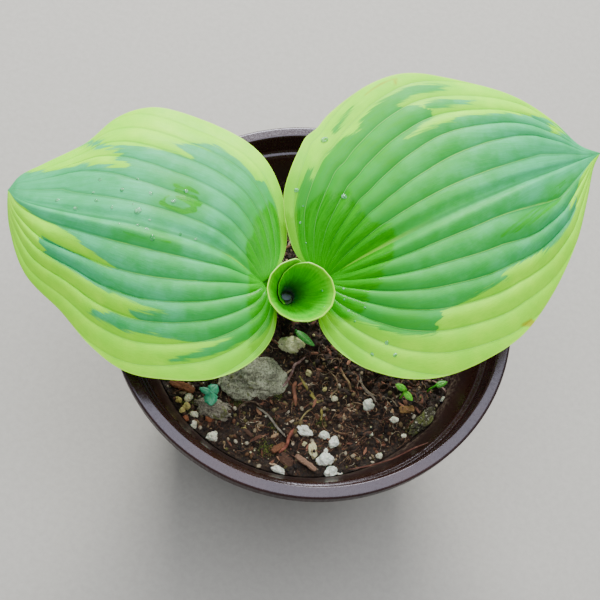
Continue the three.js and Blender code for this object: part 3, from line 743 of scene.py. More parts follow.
# Controls run from the petiole to the tip. In each half, near and far:
# puff: how strongly its ribs stand out
# drift: how far, in ribs, the veins stand outside their even places, at the shares 0.1, 0.2 ... 0.8 of the length
# centre: where the blue-green centre ends, as (share of the length, ribs from the midrib)
# pale and blue: streaks of margin or centre colour as paths of (share, ribs, half width in ribs)
# wet: (ribs from the midrib, share of the length) to which the base is wet
# bloom: how much of the blue bloom lies on the leaf, as (share of the length, amount)
# yellowing: how much less bloom the outer ribs have in the lower half
# soaked and scars: wet or yellowed streaks, as the pale ones
# wettest: the most wetness that a soaked streak reaches
leftLeaf = {
    "name": "leafLeft",
    "node": "leaf_left",
    "midrib": [(-20.5, -11, 136), (-36, -6.5, 142), (-47.5, -7, 147), (-68, -8.5, 150), (-95.5, -9, 145),
               (-113.5, -6, 138), (-122.5, 0, 131)],
    "far": [(-20.5, -11, 136), (-16.5, -5, 137), (-15.5, 4, 138), (-18, 14, 140), (-24, 26.5, 142),
            (-34, 36.5, 144), (-49.5, 43, 145), (-66, 45, 145), (-80.5, 43.5, 144), (-92, 36.5, 142),
            (-100, 23.5, 139.5), (-112.5, 12, 136), (-120, 6, 133), (-122.5, 0, 131)],
    "near": [(-20.5, -11, 136), (-16, -15.5, 136.5), (-12, -22, 136.5), (-11.5, -31.5, 134), (-17, -41.5, 131),
             (-28, -50, 128.5), (-43, -54, 126.5), (-59.5, -54.5, 125), (-74, -49, 124.5), (-89, -39, 125.5),
             (-106, -29, 127), (-117, -14, 129), (-121, -5, 130.5), (-122.5, 0, 131)],
    "petiole": [(-18.8, 12, 68), (-19, 8, 88), (-20, 1, 110), (-20.6, -5.5, 127)],
    "wavePhase": 0.6,
    "nearHalf": {
        "puff": 0.95,
        "drift": (-0.8, -0.43, 0.0, 0.36, 0.6, 0.9, 1.1, 1.3),
        "centre": [(0, 6.4), (0.15, 6.0), (0.25, 5.1), (0.42, 4.9), (0.5, 4.45), (0.53, 4.0), (0.62, 4.2),
                   (0.775, 4.35), (0.79, 3.0), (0.8, 1.65), (0.87, 1.4), (0.93, 1.1), (1, 0.9)],
        "blue": [[(0.16, 4.9, 0.3), (0.27, 5.5, 0.25), (0.385, 6.1, 0.03)],
                 [(0.3, 4.9, 0.25), (0.45, 4.75, 0.3), (0.55, 5.15, 0.3), (0.595, 5.6, 0.04)]],
        "pale": [[(0.58, 2.75, 0.06), (0.66, 2.72, 0.3), (0.72, 2.5, 0.5), (0.8, 2.3, 0.8)],
                 [(0.43, 4.0, 0.04), (0.52, 4.1, 0.18), (0.56, 4.2, 0.25)],
                 [(0.25, 5.1, 0.05), (0.35, 5.25, 0.2), (0.43, 5.4, 0.2)]],
        "wet": [(0, 0.08), (0.8, 0.13), (2, 0.175), (3.5, 0.19), (5, 0.2), (6, 0.21), (7, 0.18)],
        "bloom": [(0.1, 0.1), (0.35, 0.45), (0.65, 0.8), (1, 1)],
        "yellowing": 0.1,
        "wettest": 0.002,
        "soaked": [[(0.44, 0.62, 0.02), (0.52, 0.7, 0.07), (0.58, 0.72, 0.03)]],
        "scars": [],
    },
    "farHalf": {
        "puff": 0.45,
        "drift": (-0.2, 0.0, 0.15, 0.15, 0.15, 0.4, 0.9, 1.6),
        "centre": [(0, 5.95), (0.15, 5.95), (0.295, 5.85), (0.31, 5.2), (0.47, 5.1), (0.5, 4.85), (0.56, 4.3),
                   (0.6, 4.1), (0.7, 4.2), (0.75, 4.0), (0.83, 4.4), (0.86, 5.0), (0.9, 6.1), (0.93, 7.2), (1, 7.6)],
        "blue": [[(0.33, 5.1, 0.3), (0.44, 5.4, 0.25), (0.48, 5.2, 0.1)],
                 [(0.6, 4.0, 0.15), (0.65, 4.12, 0.1), (0.7, 4.65, 0.1), (0.75, 5.6, 0.1), (0.8, 7, 0.1)]],
        "pale": [[(0.61, 2.85, 0.05), (0.65, 3.15, 0.22), (0.68, 3.55, 0.4), (0.72, 4.0, 0.45), (0.78, 4.6, 0.6),
                  (0.84, 5.4, 0.7), (0.9, 6.7, 0.7)],
                 [(0.483, 4.3, 0.05), (0.53, 4.6, 0.3), (0.58, 4.6, 0.45)]],
        "wet": [(0, 0.09), (0.8, 0.15), (1.6, 0.2), (3.5, 0.235), (5.5, 0.235), (6, 0.19), (7, 0.15)],
        "bloom": [(0.15, 0.3), (0.35, 0.8), (0.6, 1), (1, 1)],
        "yellowing": 0.1,
        "wettest": 0.05,
        "soaked": [[(0.488, 2.42, 0.1), (0.47, 2.5, 0.14), (0.45, 2.48, 0.16), (0.43, 2.36, 0.18), (0.413, 2.2, 0.2),
                    (0.408, 1.92, 0.2), (0.425, 2.0, 0.17), (0.45, 2.08, 0.18), (0.478, 2.17, 0.13)],
                   [(0.505, 1.3, 0.12), (0.485, 1.2, 0.14), (0.46, 1.21, 0.18), (0.443, 1.22, 0.17),
                    (0.427, 1.33, 0.15), (0.41, 1.5, 0.15), (0.417, 1.7, 0.14), (0.44, 1.8, 0.12), (0.47, 1.84, 0.08)],
                   [(0.505, 1.3, 0.08), (0.5, 1.6, 0.05), (0.49, 1.85, 0.06)]],
        "scars": [],
    },
}
rightLeaf = {
    "name": "leafRight",
    "node": "leaf_right",
    "midrib": [(2.5, -2.5, 137), (9, 2.5, 143), (17, 8.5, 149), (34.5, 23, 156), (58, 43, 159),
               (75, 58.5, 156), (92.5, 76, 150)],
    "far": [(2.5, -2.5, 137), (-5.5, -1, 138.5), (-11.5, 2, 141), (-17.5, 10, 145), (-21.5, 20, 149),
            (-21.5, 29.5, 153), (-20.5, 36.5, 155), (-19.5, 41.5, 156.5), (-16.5, 46, 158), (-14, 52, 159.5),
            (-4, 65.5, 163), (8.5, 74.5, 165), (25, 78.5, 166), (45.5, 80, 165), (69.5, 77, 160),
            (83, 74, 154), (92.5, 76, 150)],
    "near": [(2.5, -2.5, 137), (3.5, -11, 136), (3.5, -19, 134.5), (10.5, -26, 133), (23, -31, 132),
             (37.5, -31, 131), (52, -26, 131), (66, -16, 132), (78, -3, 134), (86, 15.5, 138),
             (90.5, 37, 143), (91, 55, 147.5), (91, 69, 149.5), (92.5, 76, 150)],
    "petiole": [(-3.2, 13, 68), (-3, 10.5, 88), (-0.5, 7, 110), (2, 2, 128)],
    "wavePhase": 2.4,
    "nearHalf": {
        "puff": 1.0,
        "drift": (-1.6, -1.1, -0.5, 0.0, 0.4, 0.8, 1.5, 2.0),
        "centre": [(0, 5.2), (0.15, 4.9), (0.2, 4.4), (0.25, 4.45), (0.3, 4.85), (0.39, 5.05), (0.405, 4.15),
                   (0.57, 4.1), (0.575, 3.9), (0.6, 3.95), (0.65, 4.3), (0.7, 4.75), (0.75, 5.05), (0.8, 5.2),
                   (0.84, 5.15), (0.85, 4.4), (0.86, 3.5), (0.9, 3.2), (0.95, 3.0), (1, 2.5)],
        "blue": [[(0.49, 4.05, 0.12), (0.57, 4.15, 0.12)]],
        "pale": [[(0.43, 4.1, 0.03), (0.5, 4.35, 0.14), (0.56, 4.4, 0.2)],
                 [(0.8, 4.6, 0.02), (0.84, 4.2, 0.2)]],
        "wet": [(0, 0.32), (1, 0.315), (1.3, 0.27), (2.1, 0.26), (2.5, 0.235), (4, 0.215), (4.6, 0.19), (5.2, 0.15),
                (7, 0.12)],
        "bloom": [(0.2, -0.1), (0.45, 0.1), (0.65, 0.5), (0.88, 1)],
        "yellowing": 0.15,
        "wettest": 0.001,
        "soaked": [[(0.6, 2.3, 0.05), (0.66, 2.42, 0.3), (0.72, 2.5, 0.38), (0.78, 2.65, 0.4), (0.83, 3.0, 0.3),
                    (0.86, 3.2, 0.1)],
                   [(0.79, 1.75, 0.05), (0.83, 2.0, 0.3), (0.87, 2.4, 0.15)]],
        "scars": [[(0.57, 6.55, 0.05), (0.59, 6.8, 0.14), (0.6, 7.1, 0.1)]],
    },
    "farHalf": {
        "puff": 0.75,
        "drift": (-1.2, -0.9, -0.5, -0.2, 0.15, 0.6, 1.0, 1.5),
        "centre": [(0, 6.0), (0.1, 5.8), (0.2, 5.85), (0.27, 6.0), (0.3, 5.4), (0.36, 5.6), (0.4, 5.3), (0.45, 5.35),
                   (0.5, 5.6), (0.54, 4.9), (0.56, 4.3), (0.6, 4.2), (0.65, 4.35), (0.7, 4.6), (0.75, 4.95),
                   (0.8, 5.4), (0.83, 6.0), (0.86, 6.3), (0.9, 6.9), (1, 7.6)],
        "blue": [[(0.44, 5.4, 0.3), (0.52, 5.75, 0.3), (0.6, 6.15, 0.2), (0.645, 6.4, 0.02)],
                 [(0.56, 5.0, 0.2), (0.62, 5.2, 0.15), (0.675, 5.45, 0.02)],
                 [(0.37, 6.15, 0.13), (0.435, 6.4, 0.02)]],
        "pale": [[(0.49, 3.75, 0.04), (0.55, 4.0, 0.15), (0.6, 4.3, 0.3)],
                 [(0.27, 5.5, 0.15), (0.3, 5.6, 0.2)],
                 [(0.84, 4.4, 0.05), (0.86, 5.2, 0.2), (0.89, 6.3, 0.25)]],
        "wet": [(0, 0.33), (0.7, 0.33), (1.2, 0.3), (3.4, 0.3), (3.8, 0.265), (4.5, 0.25), (5, 0.2), (7, 0.16)],
        "bloom": [(0.3, -0.1), (0.5, 0.15), (0.66, 0.6), (0.85, 1)],
        "yellowing": 0.6,
        "wettest": 0.05,
        "soaked": [],
        "scars": [[(0.524, 6.45, 0.03), (0.53, 6.75, 0.06)], [(0.46, 6.6, 0.02), (0.5, 6.75, 0.05), (0.53, 6.8, 0.02)]],
    },
}


def bladeAt(leaf, u, v):
    # u runs from petiole to tip and v from the near margin to the far one.
    # A point is mixed from midrib and margin, raised by the camber, the puffed ribs and the margin's waves.
    s = leafSizes
    side = 2 * v - 1
    out = np.abs(side)
    middle = alongSpline(leaf["midrib"], u ** s["midribLag"])
    margin = np.where((side < 0)[..., None], alongSpline(leaf["near"], u), alongSpline(leaf["far"], u))
    points = middle + (margin - middle) * out[..., None]
    ends = smoothStep(u, 0.03, 0.3) * (1 - smoothStep(u, 0.72, 0.99))
    rib = ribAt(leaf, u, v)
    puff = (np.sin(np.pi * rib) ** 2 + 0.012) ** 0.33 * smoothStep(out * s["ribs"], 0, 0.6)
    puff = puff * (1 - 0.7 * smoothStep(out, 0.55, 1))
    height, count = s["wave"]
    points[..., 2] += s["camber"] * np.sin(np.pi * out) * np.sin(np.pi * u)
    strength = np.where(side < 0, leaf["nearHalf"]["puff"], leaf["farHalf"]["puff"])
    points[..., 2] += s["ribHeight"] * strength * ends * puff
    points[..., 2] += height * ends * out**4 * np.sin(2 * np.pi * count * u + leaf["wavePhase"])
    fine = np.stack([u * 16, side * 7, 0 * u], axis=-1)
    points[..., 2] += 0.22 * ends * latticeNoise(fine, 1.3, 17) + 0.1 * ends * latticeNoise(fine, 0.45, 19)
    return points


def driftAt(leaf, u, v):
    # The near or far half's drift of the veins at a share of the length, in ribs
    near, far = (np.interp(u, leafSizes["driftShares"], leaf[half]["drift"]) for half in ("nearHalf", "farHalf"))
    return np.where(v < 0.5, near, far)


def ribAt(leaf, u, v):
    # Which rib a place is on: even ribs, moved by the half's drift; whole numbers are veins
    out = np.abs(2 * v - 1)
    return leafSizes["ribs"] * out - driftAt(leaf, u, v) * smoothStep(out, 0, 0.5)


def alongVeins(leaf, u, v):
    # Moves an even grid's v so that its lines run along the veins in the inner half and ease to the margin
    side = 2 * v - 1
    drift = driftAt(leaf, u, v) / leafSizes["ribs"]
    out = np.abs(side)
    for _ in range(40):
        out = np.abs(side) + drift * smoothStep(out, 0, 0.5) * (1 - smoothStep(out, 0.5, 1))
    return 0.5 + np.sign(side) * np.clip(out, 0, 1) / 2


def streakDepth(u, ribs, streak):
    # Half width of a streak at the nearest place on its path, less the distance to it, all in ribs
    perLength = 15.0  # ribs that would fit along the leaf
    depth = np.full(u.shape, -9.0)
    for (u0, r0, w0), (u1, r1, w1) in zip(streak, streak[1:]):
        du, dr = (u1 - u0) * perLength, r1 - r0
        t = np.clip(((u - u0) * perLength * du + (ribs - r0) * dr) / (du * du + dr * dr), 0, 1)
        away = np.hypot((u - u0) * perLength - t * du, ribs - r0 - t * dr)
        depth = np.maximum(depth, w0 + (w1 - w0) * t - away)
    return depth


def leafColours(leaf, u, v):
    # band: ribs by which a place lies outside the blue-green centre; wet: share of the length by which it is
    # inside the wet base; bloom: how bluish; scar: ribs by which it is inside a yellowed streak.
    # band is read at a length that jumps a little from one fine strip to the next, which feathers its edge.
    ribs = leafSizes["ribs"] * np.abs(2 * v - 1)
    strip = np.stack([ribs * 4.5 + 40 * (v < 0.5), u * 1.5, 0 * u], axis=-1)
    comb = u + 0.016 * latticeNoise(strip, 1.0, 41) + 0.009 * latticeNoise(strip * [2.3, 2, 1], 1.0, 43)
    bands, wets, blooms, scars = [], [], [], []
    for half in (leaf["nearHalf"], leaf["farHalf"]):
        band = ribs - np.interp(comb, *np.transpose(half["centre"]))
        band = np.clip(band, -2, 2)
        for streak in half["pale"]:
            band = np.maximum(band, streakDepth(comb, ribs, streak))
        for streak in half["blue"]:
            band = np.minimum(band, -streakDepth(comb, ribs, streak))
        bands.append(band)
        reach = np.interp(ribs, *np.transpose(half["wet"]))
        blotch = np.stack([u * 16, ribs + 20 * (v < 0.5), 0 * u], axis=-1)
        wet = reach - u + 0.014 * latticeNoise(blotch, 0.9, 47)
        for streak in half["soaked"]:
            depth = streakDepth(u, ribs, streak)
            broken = (0.006 + 0.3 * np.maximum(depth, 0)) * latticeNoise(blotch * [2, 6, 1], 1.0, 48)
            wet = np.maximum(wet, np.minimum(0.24 * depth + broken, half["wettest"]))
        wets.append(wet)
        yellowing = half["yellowing"] * ribs / leafSizes["ribs"] * (1 - smoothStep(u, 0.4, 0.75))
        blooms.append(np.interp(u, *np.transpose(half["bloom"])) - yellowing + 0.1 * latticeNoise(blotch, 1.1, 49))
        scars.append(np.max([streakDepth(u, ribs, streak) for streak in half["scars"]] + [np.full(u.shape, -1.0)],
                            axis=0))
    return {key: np.where(v < 0.5, *pair)
            for key, pair in (("band", bands), ("wet", wets), ("bloom", blooms), ("scar", scars))}


def leafMaterial():
    # Blue-green centre under a dull bloom, chartreuse margin, deep green where wet; fine pale veins; painted shade in
    # the furrows
    finish = Finish("hostaLeaf")
    share, rib, side = finish.value("share"), finish.value("rib"), finish.value("side")
    band, wet, under = finish.value("band"), finish.value("wet"), finish.value("under")
    place = finish.place()
    lengthwise = finish.vector(finish.times(share, 14), finish.times(side, 70), 0.0)
    feather = finish.noise(lengthwise, 1.6, 4, 0.65)
    cloud = finish.noise(place, 9, 4, 0.6)
    fine = finish.noise(place, 0.8, 5, 0.7)
    fibre = finish.noise(finish.vector(finish.times(share, 40), finish.times(side, 210), 0.0), 1.0, 3, 0.6)

    edge = finish.plus(band, finish.between(feather, 0.2, 0.8, -0.16, 0.16))
    margin = finish.between(edge, -0.06, 0.09)
    soft = finish.between(edge, -0.35, 0.3)
    wetEdge = finish.plus(wet, finish.between(feather, 0.2, 0.8, -0.01, 0.01))
    soaked = finish.between(wetEdge, -0.009, 0.011)
    damp = finish.between(wet, -0.2, 0.0)

    bloom = finish.plus(finish.value("bloom"), finish.between(cloud, 0.25, 0.75, -0.22, 0.22))
    bluish = finish.mix(finish.between(cloud, 0.3, 0.7), "27a662", "3cb67a")
    bluish = finish.mix(finish.between(fibre, 0.4, 0.7, 0.0, 0.3), bluish, "58c48e")
    plain = finish.mix(finish.between(cloud, 0.3, 0.7), "1a9c34", "34ae40")
    plain = finish.mix(finish.between(fibre, 0.4, 0.7, 0.0, 0.3), plain, "4cb85a")
    centre = finish.mix(finish.between(bloom, 0.0, 1.0), plain, bluish)
    centre = finish.mix(finish.between(bloom, 0.15, -0.45, 0.0, 0.75), centre, "3aa414")
    centre = finish.mix(finish.between(feather, 0.35, 0.7, 0.0, 0.4), centre, "229c4a")
    centre = finish.mix(finish.times(damp, 0.55), centre, "1f961e")
    centre = finish.mix(finish.times(soft, 0.3), centre, "42a42e")
    pale = finish.mix(finish.between(cloud, 0.3, 0.7), "90f000", "a6fa12")
    pale = finish.mix(finish.between(fibre, 0.4, 0.72, 0.0, 0.35), pale, "78dc00")
    pale = finish.mix(finish.between(band, 0.5, 0.0, 0.0, 0.5), pale, "74d404")
    pale = finish.mix(finish.times(damp, 0.6), pale, "54c000")
    base = finish.mix(margin, centre, pale)
    green = finish.mix(finish.between(feather, 0.3, 0.7), "0c8000", "249c00")
    green = finish.mix(finish.between(fibre, 0.45, 0.7, 0.0, 0.5), green, "38a800")
    green = finish.mix(finish.times(soft, 0.6), green, "7ed400")
    base = finish.mix(soaked, base, green)

    toVein = finish.math("PINGPONG", rib, 0.5)
    vein = finish.between(toVein, 0.034, 0.004)
    veinShow = finish.times(vein, finish.between(finish.math("ABSOLUTE", side), 0.03, 0.08))
    outwards = finish.math("ABSOLUTE", side)
    # Painted shade in the furrows: darker green close to each vein, fading at the base, the tip and the margin; in part
    # also the thinner bloom there
    furrowShade = finish.times(finish.between(toVein, 0.13, 0.03), finish.between(share, 0.06, 0.2))
    furrowShade = finish.times(furrowShade, finish.between(outwards, 0.95, 0.6, 0.25, 1.0))
    furrowShade = finish.times(furrowShade, finish.between(share, 0.98, 0.8))
    base = finish.mix(finish.times(furrowShade, 0.5), base, finish.mix(margin, "0e7a34", "4aae04"))
    base = finish.mix(finish.times(veinShow, finish.between(bloom, 0.9, 0.3, 0.1, 0.65)), base, "84d44c")
    midrib = finish.times(finish.between(outwards, 0.022, 0.008), finish.between(share, 0.5, 0.2))
    base = finish.mix(finish.times(midrib, finish.between(bloom, 0.5, 0.1, 0.1, 0.7)), base, "80d024")
    rim = finish.between(outwards, 0.985, 0.996)
    base = finish.mix(finish.times(rim, 0.6), base, "b8f04c")
    base = finish.mix(finish.between(finish.value("scar"), -0.05, 0.06, 0.0, 0.8), base, "a4a000")
    beneath = finish.mix(margin, "4fb266", "90da4c")
    base = finish.mix(under, base, finish.mix(finish.times(vein, 0.5), beneath, "b4e088"))

    dull = finish.between(margin, 0.0, 1.0, 0.46, 0.42)
    rough = finish.plus(dull, finish.between(fine, 0.3, 0.7, -0.05, 0.05))
    rough = finish.math("MULTIPLY_ADD", soaked, -0.2, rough)
    relief = finish.plus(finish.times(fine, 0.5),
                         finish.math("MULTIPLY_ADD", fibre, 0.8, finish.times(veinShow, -0.7)))
    return finish.dress(Base_Color=base, Roughness=rough, IOR=1.4, Specular_IOR_Level=0.22,
                        Normal=finish.bump(relief, 0.14, 0.5))


def makeLeaf(leaf, material):
    # The blade as a sheet that thins towards its margin, with its petiole and keel as a tapering tube
    s = leafSizes
    rows, columns = s["rows"], s["columns"]
    u, v = np.meshgrid(np.linspace(0, 1, rows + 1), np.linspace(0, 1, columns + 1), indexing="ij")
    v = alongVeins(leaf, u, v)
    side = 2 * v - 1
    blade = sheet(bladeAt(leaf, u, v), s["thickness"] * (1 - 0.6 * np.abs(side)**8), share=u, side=side,
                  rib=ribAt(leaf, u, v), **leafColours(leaf, u, v))

    shares = np.array([0, 0.12, 0.28, s["keelEnd"]])
    keel = alongSpline(leaf["midrib"], shares)
    deep, less = s["keelDepth"]
    keel[:, 2] -= deep - less * shares / s["keelEnd"]
    share = np.linspace(0, 1, 60)
    path = alongSpline(list(leaf["petiole"]) + keel.tolist(), share)
    outwards = np.subtract(leaf["midrib"][-1], leaf["midrib"][0]) * [1, 1, 0]
    across = unit(np.array([-outwards[1], outwards[0], 0.0]))
    radius = s["petioleRadius"] * (1.25 - 0.3 * smoothStep(share, 0, 0.5) - 0.72 * smoothStep(share, 0.5, 1))
    depth = 0.45 * (1 - smoothStep(share, 0.45, 0.62))
    angle = evenAngles(28)
    reach = radius[:, None] * (1 - depth[:, None] * np.maximum(0, np.cos(angle))[None] ** 3)
    stalk = tube(path, reach, across, share=0.1, side=0.3, rib=0.5, band=-0.6, wet=0.05, bloom=0.2,
                 scar=-1, under=0.0)
    return makePiece(leaf["name"], joined([blade, stalk]), material, [leaf["node"]], sharp=75)


leafFinish = leafMaterial()
makeLeaf(leftLeaf, leafFinish)
makeLeaf(rightLeaf, leafFinish)
print("leaves made")


# ---- rolled leaf ----

rolledSizes = {
    "axis": [(-10.2, 13, 68), (-10.5, 6, 90), (-10.8, -1.9, 110), (-9.6, -7, 124), (-7.3, -11.9, 136),
             (-5.4, -15.3, 148)],
    "bottom": 103.0,
    "mouth": 148.0,
    "stem": 4.1,
    "throat": 3.8,
    "flareRadius": 12.85,
    "flare": 2.4,
    "layerStep": 1.15,
    "turns": (-50.0, 520.0),  # degrees from the far side
    "outerDrop": 22.0,
    "innerDrop": 19.0,
    "tipRise": 1.6,
    "rows": 300,
    "columns": 70,
    "stemEnd": 0.47,
    "stemRings": 30,
}


def rolledAt(u, v):
    # u turns round the leaning axis and v climbs from the petiole to the margin. The radius grows with a power
    # of the height and shrinks with each turn; the rings get level towards the mouth.
    s = rolledSizes
    first, last = s["turns"]
    turn = first + (last - first) * u
    margin = (s["mouth"] + s["tipRise"] * np.exp(-((turn - 186) / 9) ** 2)
              - s["outerDrop"] * smoothStep(24 - turn, 0, 24 - first) ** 0.8
              - s["innerDrop"] * smoothStep(turn, 352, last))
    height = np.minimum(s["bottom"] + (margin - s["bottom"]) * v, s["mouth"])
    steps = np.linspace(0, 1, 801)
    table = alongSpline(s["axis"], steps)
    share = np.interp(height, table[:, 2], steps)
    middle = alongSpline(s["axis"], share)
    climb = (height - s["bottom"]) / (s["mouth"] - s["bottom"])
    tangents = unit(np.gradient(table, axis=0))
    tangent = np.stack([np.interp(share, steps, tangents[:, k]) for k in range(3)], axis=-1)
    tangent = unit(tangent * (1 - climb[..., None]) + np.array([0, 0, 1.0]) * climb[..., None])
    right = unit(np.array([1.0, 0, 0]) - tangent * tangent[..., :1])
    back = np.cross(tangent, right)
    radius = (s["throat"] + (s["flareRadius"] - s["throat"]) * np.clip(climb, 0, 1) ** s["flare"]
              - s["layerStep"] * turn / 360)
    ripple = 0.18 * np.abs(np.sin(np.radians(turn) * 7)) ** 0.7 * smoothStep(climb, 0.1, 0.5)
    angle = np.radians(90 + turn)
    reach = (radius - ripple)[..., None]
    return middle + reach * (right * np.cos(angle)[..., None] + back * np.sin(angle)[..., None])


def youngLeafMaterial():
    # Fresh green with painted shade down the throat, fine lengthwise veins and a pale margin
    finish = Finish("youngLeaf")
    climb, turn, inside = finish.value("share"), finish.value("side"), finish.value("under")
    lengthwise = finish.vector(finish.times(turn, 150), finish.times(climb, 3), 0.0)
    fibre = finish.noise(lengthwise, 1.5, 4, 0.6)
    cloud = finish.noise(finish.place(), 6, 3)
    deep = finish.mix(finish.between(fibre, 0.35, 0.7), "1c9c04", "38b80c")
    fresh = finish.mix(finish.between(fibre, 0.35, 0.7), "22a200", "4cc200")
    base = finish.mix(finish.between(climb, 0.55, 0.97), deep, fresh)
    # painted shade: nearly black green low in the throat
    base = finish.mix(finish.between(climb, 0.34, 0.16), base, "0a3002")
    base = finish.mix(finish.between(cloud, 0.45, 0.7, 0.0, 0.4), base, "52c000")
    base = finish.mix(finish.between(climb, 0.9, 0.97, 0.0, 0.5), base, "74d400")
    edge = finish.between(climb, 0.982, 0.994)
    base = finish.mix(finish.times(edge, 0.8), base, "b0ee38")
    outer = finish.mix(finish.between(climb, 0.2, 0.9), "58b82c", "8ed83c")
    base = finish.mix(inside, outer, base)
    return finish.dress(Base_Color=base, Roughness=finish.between(cloud, 0.3, 0.7, 0.28, 0.4), IOR=1.36,
                        Normal=finish.bump(fibre, 0.12, 0.5))


def makeRolledLeaf():
    # The rolled sheet, thin at its margin, and the stalk below it
    s = rolledSizes
    u, v = np.meshgrid(np.linspace(0, 1, s["rows"] + 1), np.linspace(0, 1, s["columns"] + 1), indexing="ij")
    points = rolledAt(u, v)
    funnel = sheet(points, 0.7 * (1 - 0.5 * v**10), share=(points[..., 2] - s["bottom"]) / (s["mouth"] - s["bottom"]),
                   side=u)
    share = np.linspace(0, s["stemEnd"], s["stemRings"])
    path = alongSpline(s["axis"], share)
    radius = s["stem"] * (0.86 + 0.14 * share / s["stemEnd"])
    stem = tube(path, np.repeat(radius[:, None], 36, axis=1), (1, 0, 0), share=np.linspace(0, 0.3, s["stemRings"]),
                side=0.3, under=0.0)
    return makePiece("leafRolled", joined([funnel, stem]), youngLeafMaterial(), ["leaf_rolled"],
                     sharp=75)


makeRolledLeaf()
print("rolled leaf made")


# ---- stones, clods and grains ----

stones = {
    "stone_mossy": {"at": (-15.2, -29.4), "half": (13.4, 9.6, 6.8), "turn": 24, "rise": 1.2, "seed": 1, "lumps": 0.36,
                    "slot": "mossy_stone", "grid": (90, 120)},
    "clod_grey": {"at": (-26.4, -46.4), "half": (7.6, 3.8, 3.4), "turn": 8, "rise": 0.8, "seed": 2, "lumps": 0.6,
                  "slot": "mossy_stone", "grid": (64, 90)},
    "clod_mossy": {"at": (56.6, -27.2), "half": (6.6, 2.8, 3.2), "turn": 62, "rise": 0.8, "seed": 3, "lumps": 0.6,
                   "slot": "mossy_stone", "grid": (64, 90)},
    "pebble_cream": {"at": (-3.4, -11.2), "half": (4.9, 3.5, 3), "turn": 6, "rise": 1.3, "seed": 4, "lumps": 0.22,
                     "slot": "pale_stone", "grid": (56, 76)},
}


def stoneShape(half, turn, place, seed, lumps, grid, **values):
    # A ball pushed in and out by the same crossing waves as the solid and by finer noise, scaled, turned and placed
    points, quads = ball(*grid)
    x, y, z = points.T
    rough = (1 + 0.09 * np.sin(3.1 * x + 2.3 * y + seed) + 0.07 * np.cos(4.3 * y - 3.7 * z + 2 * seed)
             + 0.05 * np.sin(6.1 * z + 5.2 * x + 3 * seed))
    shift = points + 10 * seed
    fine = (latticeNoise(shift, 0.5, 51) + 0.7 * (1 - 2 * np.abs(latticeNoise(shift, 0.3, 52)))
            + 0.45 * latticeNoise(shift, 0.12, 53))
    points = points * (rough + lumps * 0.35 * fine)[:, None] * half
    return shapeOf(points @ turned(turn)[0].T + place, quads, **values)


def mossyStoneMaterial(name, light, dark, moss, amount):
    # Pitted grey stone with lighter grains, patches of moss and algae, and darker pits
    finish = Finish(name)
    place = finish.place()
    wide = finish.noise(place, 5, 5, 0.6)
    fine = finish.noise(place, 0.7, 6, 0.75)
    pits = finish.between(finish.cells(place, 1.5), 0.32, 0.1)
    base = finish.mix(finish.between(wide, 0.32, 0.68), dark, light)
    base = finish.mix(finish.between(fine, 0.42, 0.62, 0.0, 0.7), base, "3a3628")
    base = finish.mix(finish.times(finish.between(finish.noise(place, 1.1, 5, 0.7), 0.54, 0.66), 0.7),
                      base, "c8c6b2")
    green = finish.mix(finish.between(fine, 0.35, 0.6), "3c431a", moss)
    patch = finish.between(finish.noise(place, 3.2, 4, 0.6), 0.62 - amount, 0.74 - amount)
    base = finish.mix(finish.times(patch, 0.8), base, green)
    base = finish.mix(finish.times(pits, 0.5), base, "1d1811")
    return finish.dress(Base_Color=base, Roughness=0.9,
                        Normal=finish.bump(finish.math("SUBTRACT", fine, finish.times(pits, 0.5)), 0.7, 0.9))


def creamPebbleMaterial():
    # Cream stone with crusts of yellow-green and grey lichen
    finish = Finish("creamPebble")
    place = finish.place()
    wide = finish.noise(place, 2.4, 4, 0.6)
    fine = finish.noise(place, 0.5, 5, 0.7)
    base = finish.mix(finish.between(fine, 0.35, 0.65), "d6da94", "fafad2")
    base = finish.mix(finish.between(wide, 0.5, 0.62, 0.0, 0.6), base, "aebc54")
    base = finish.mix(finish.between(finish.noise(place, 1.1, 4, 0.7), 0.58, 0.68, 0.0, 0.5), base, "6d7a42")
    return finish.dress(Base_Color=base, Roughness=0.85, Normal=finish.bump(fine, 0.5, 0.8))


def perliteMaterial():
    # White puffed grains with tiny pits and a little dirt
    finish = Finish("perlite")
    place = finish.place()
    pits = finish.cells(place, 0.42)
    fine = finish.noise(place, 0.8, 5, 0.7)
    tint = finish.value("tint")
    base = finish.mix(finish.between(fine, 0.35, 0.6), "c8ccb8", "eff4e8")
    base = finish.mix(finish.times(finish.between(finish.noise(place, 1.6, 4), 0.55, 0.68), 0.6), base, "8a7a5e")
    base = finish.mix(finish.between(tint, 0.0, 1.0), base, "b5a95e")
    base = finish.mix(finish.between(tint, 1.0, 1.3), base, "8a5434")
    return finish.dress(Base_Color=base, Roughness=0.9, Subsurface_Weight=0.1, Subsurface_Scale=0.001,
                        Normal=finish.bump(finish.math("MULTIPLY_ADD", pits, 0.7, fine), 0.3, 0.8))


stoneFinishes = {
    "stone_mossy": mossyStoneMaterial("mossyStone", "ccd0b0", "8c8e74", "6d7434", 0.04),
    "clod_grey": mossyStoneMaterial("greyClod", "b2aa96", "6a6252", "6d7434", 0.08),
    "clod_mossy": mossyStoneMaterial("mossyClod", "3f3a26", "241f14", "6d7434", 0.14),
    "pebble_cream": creamPebbleMaterial(),
}
for name, stone in stones.items():
    x, y = stone["at"]
    place = (x, y, mixHeight(x, y) + stone["rise"])
    shape = heldInside(stoneShape(stone["half"], stone["turn"], place, stone["seed"], stone["lumps"], stone["grid"]))
    makePiece(pieceName(*reversed(name.split("_"))), shape, stoneFinishes[name], [name], sharp=180)

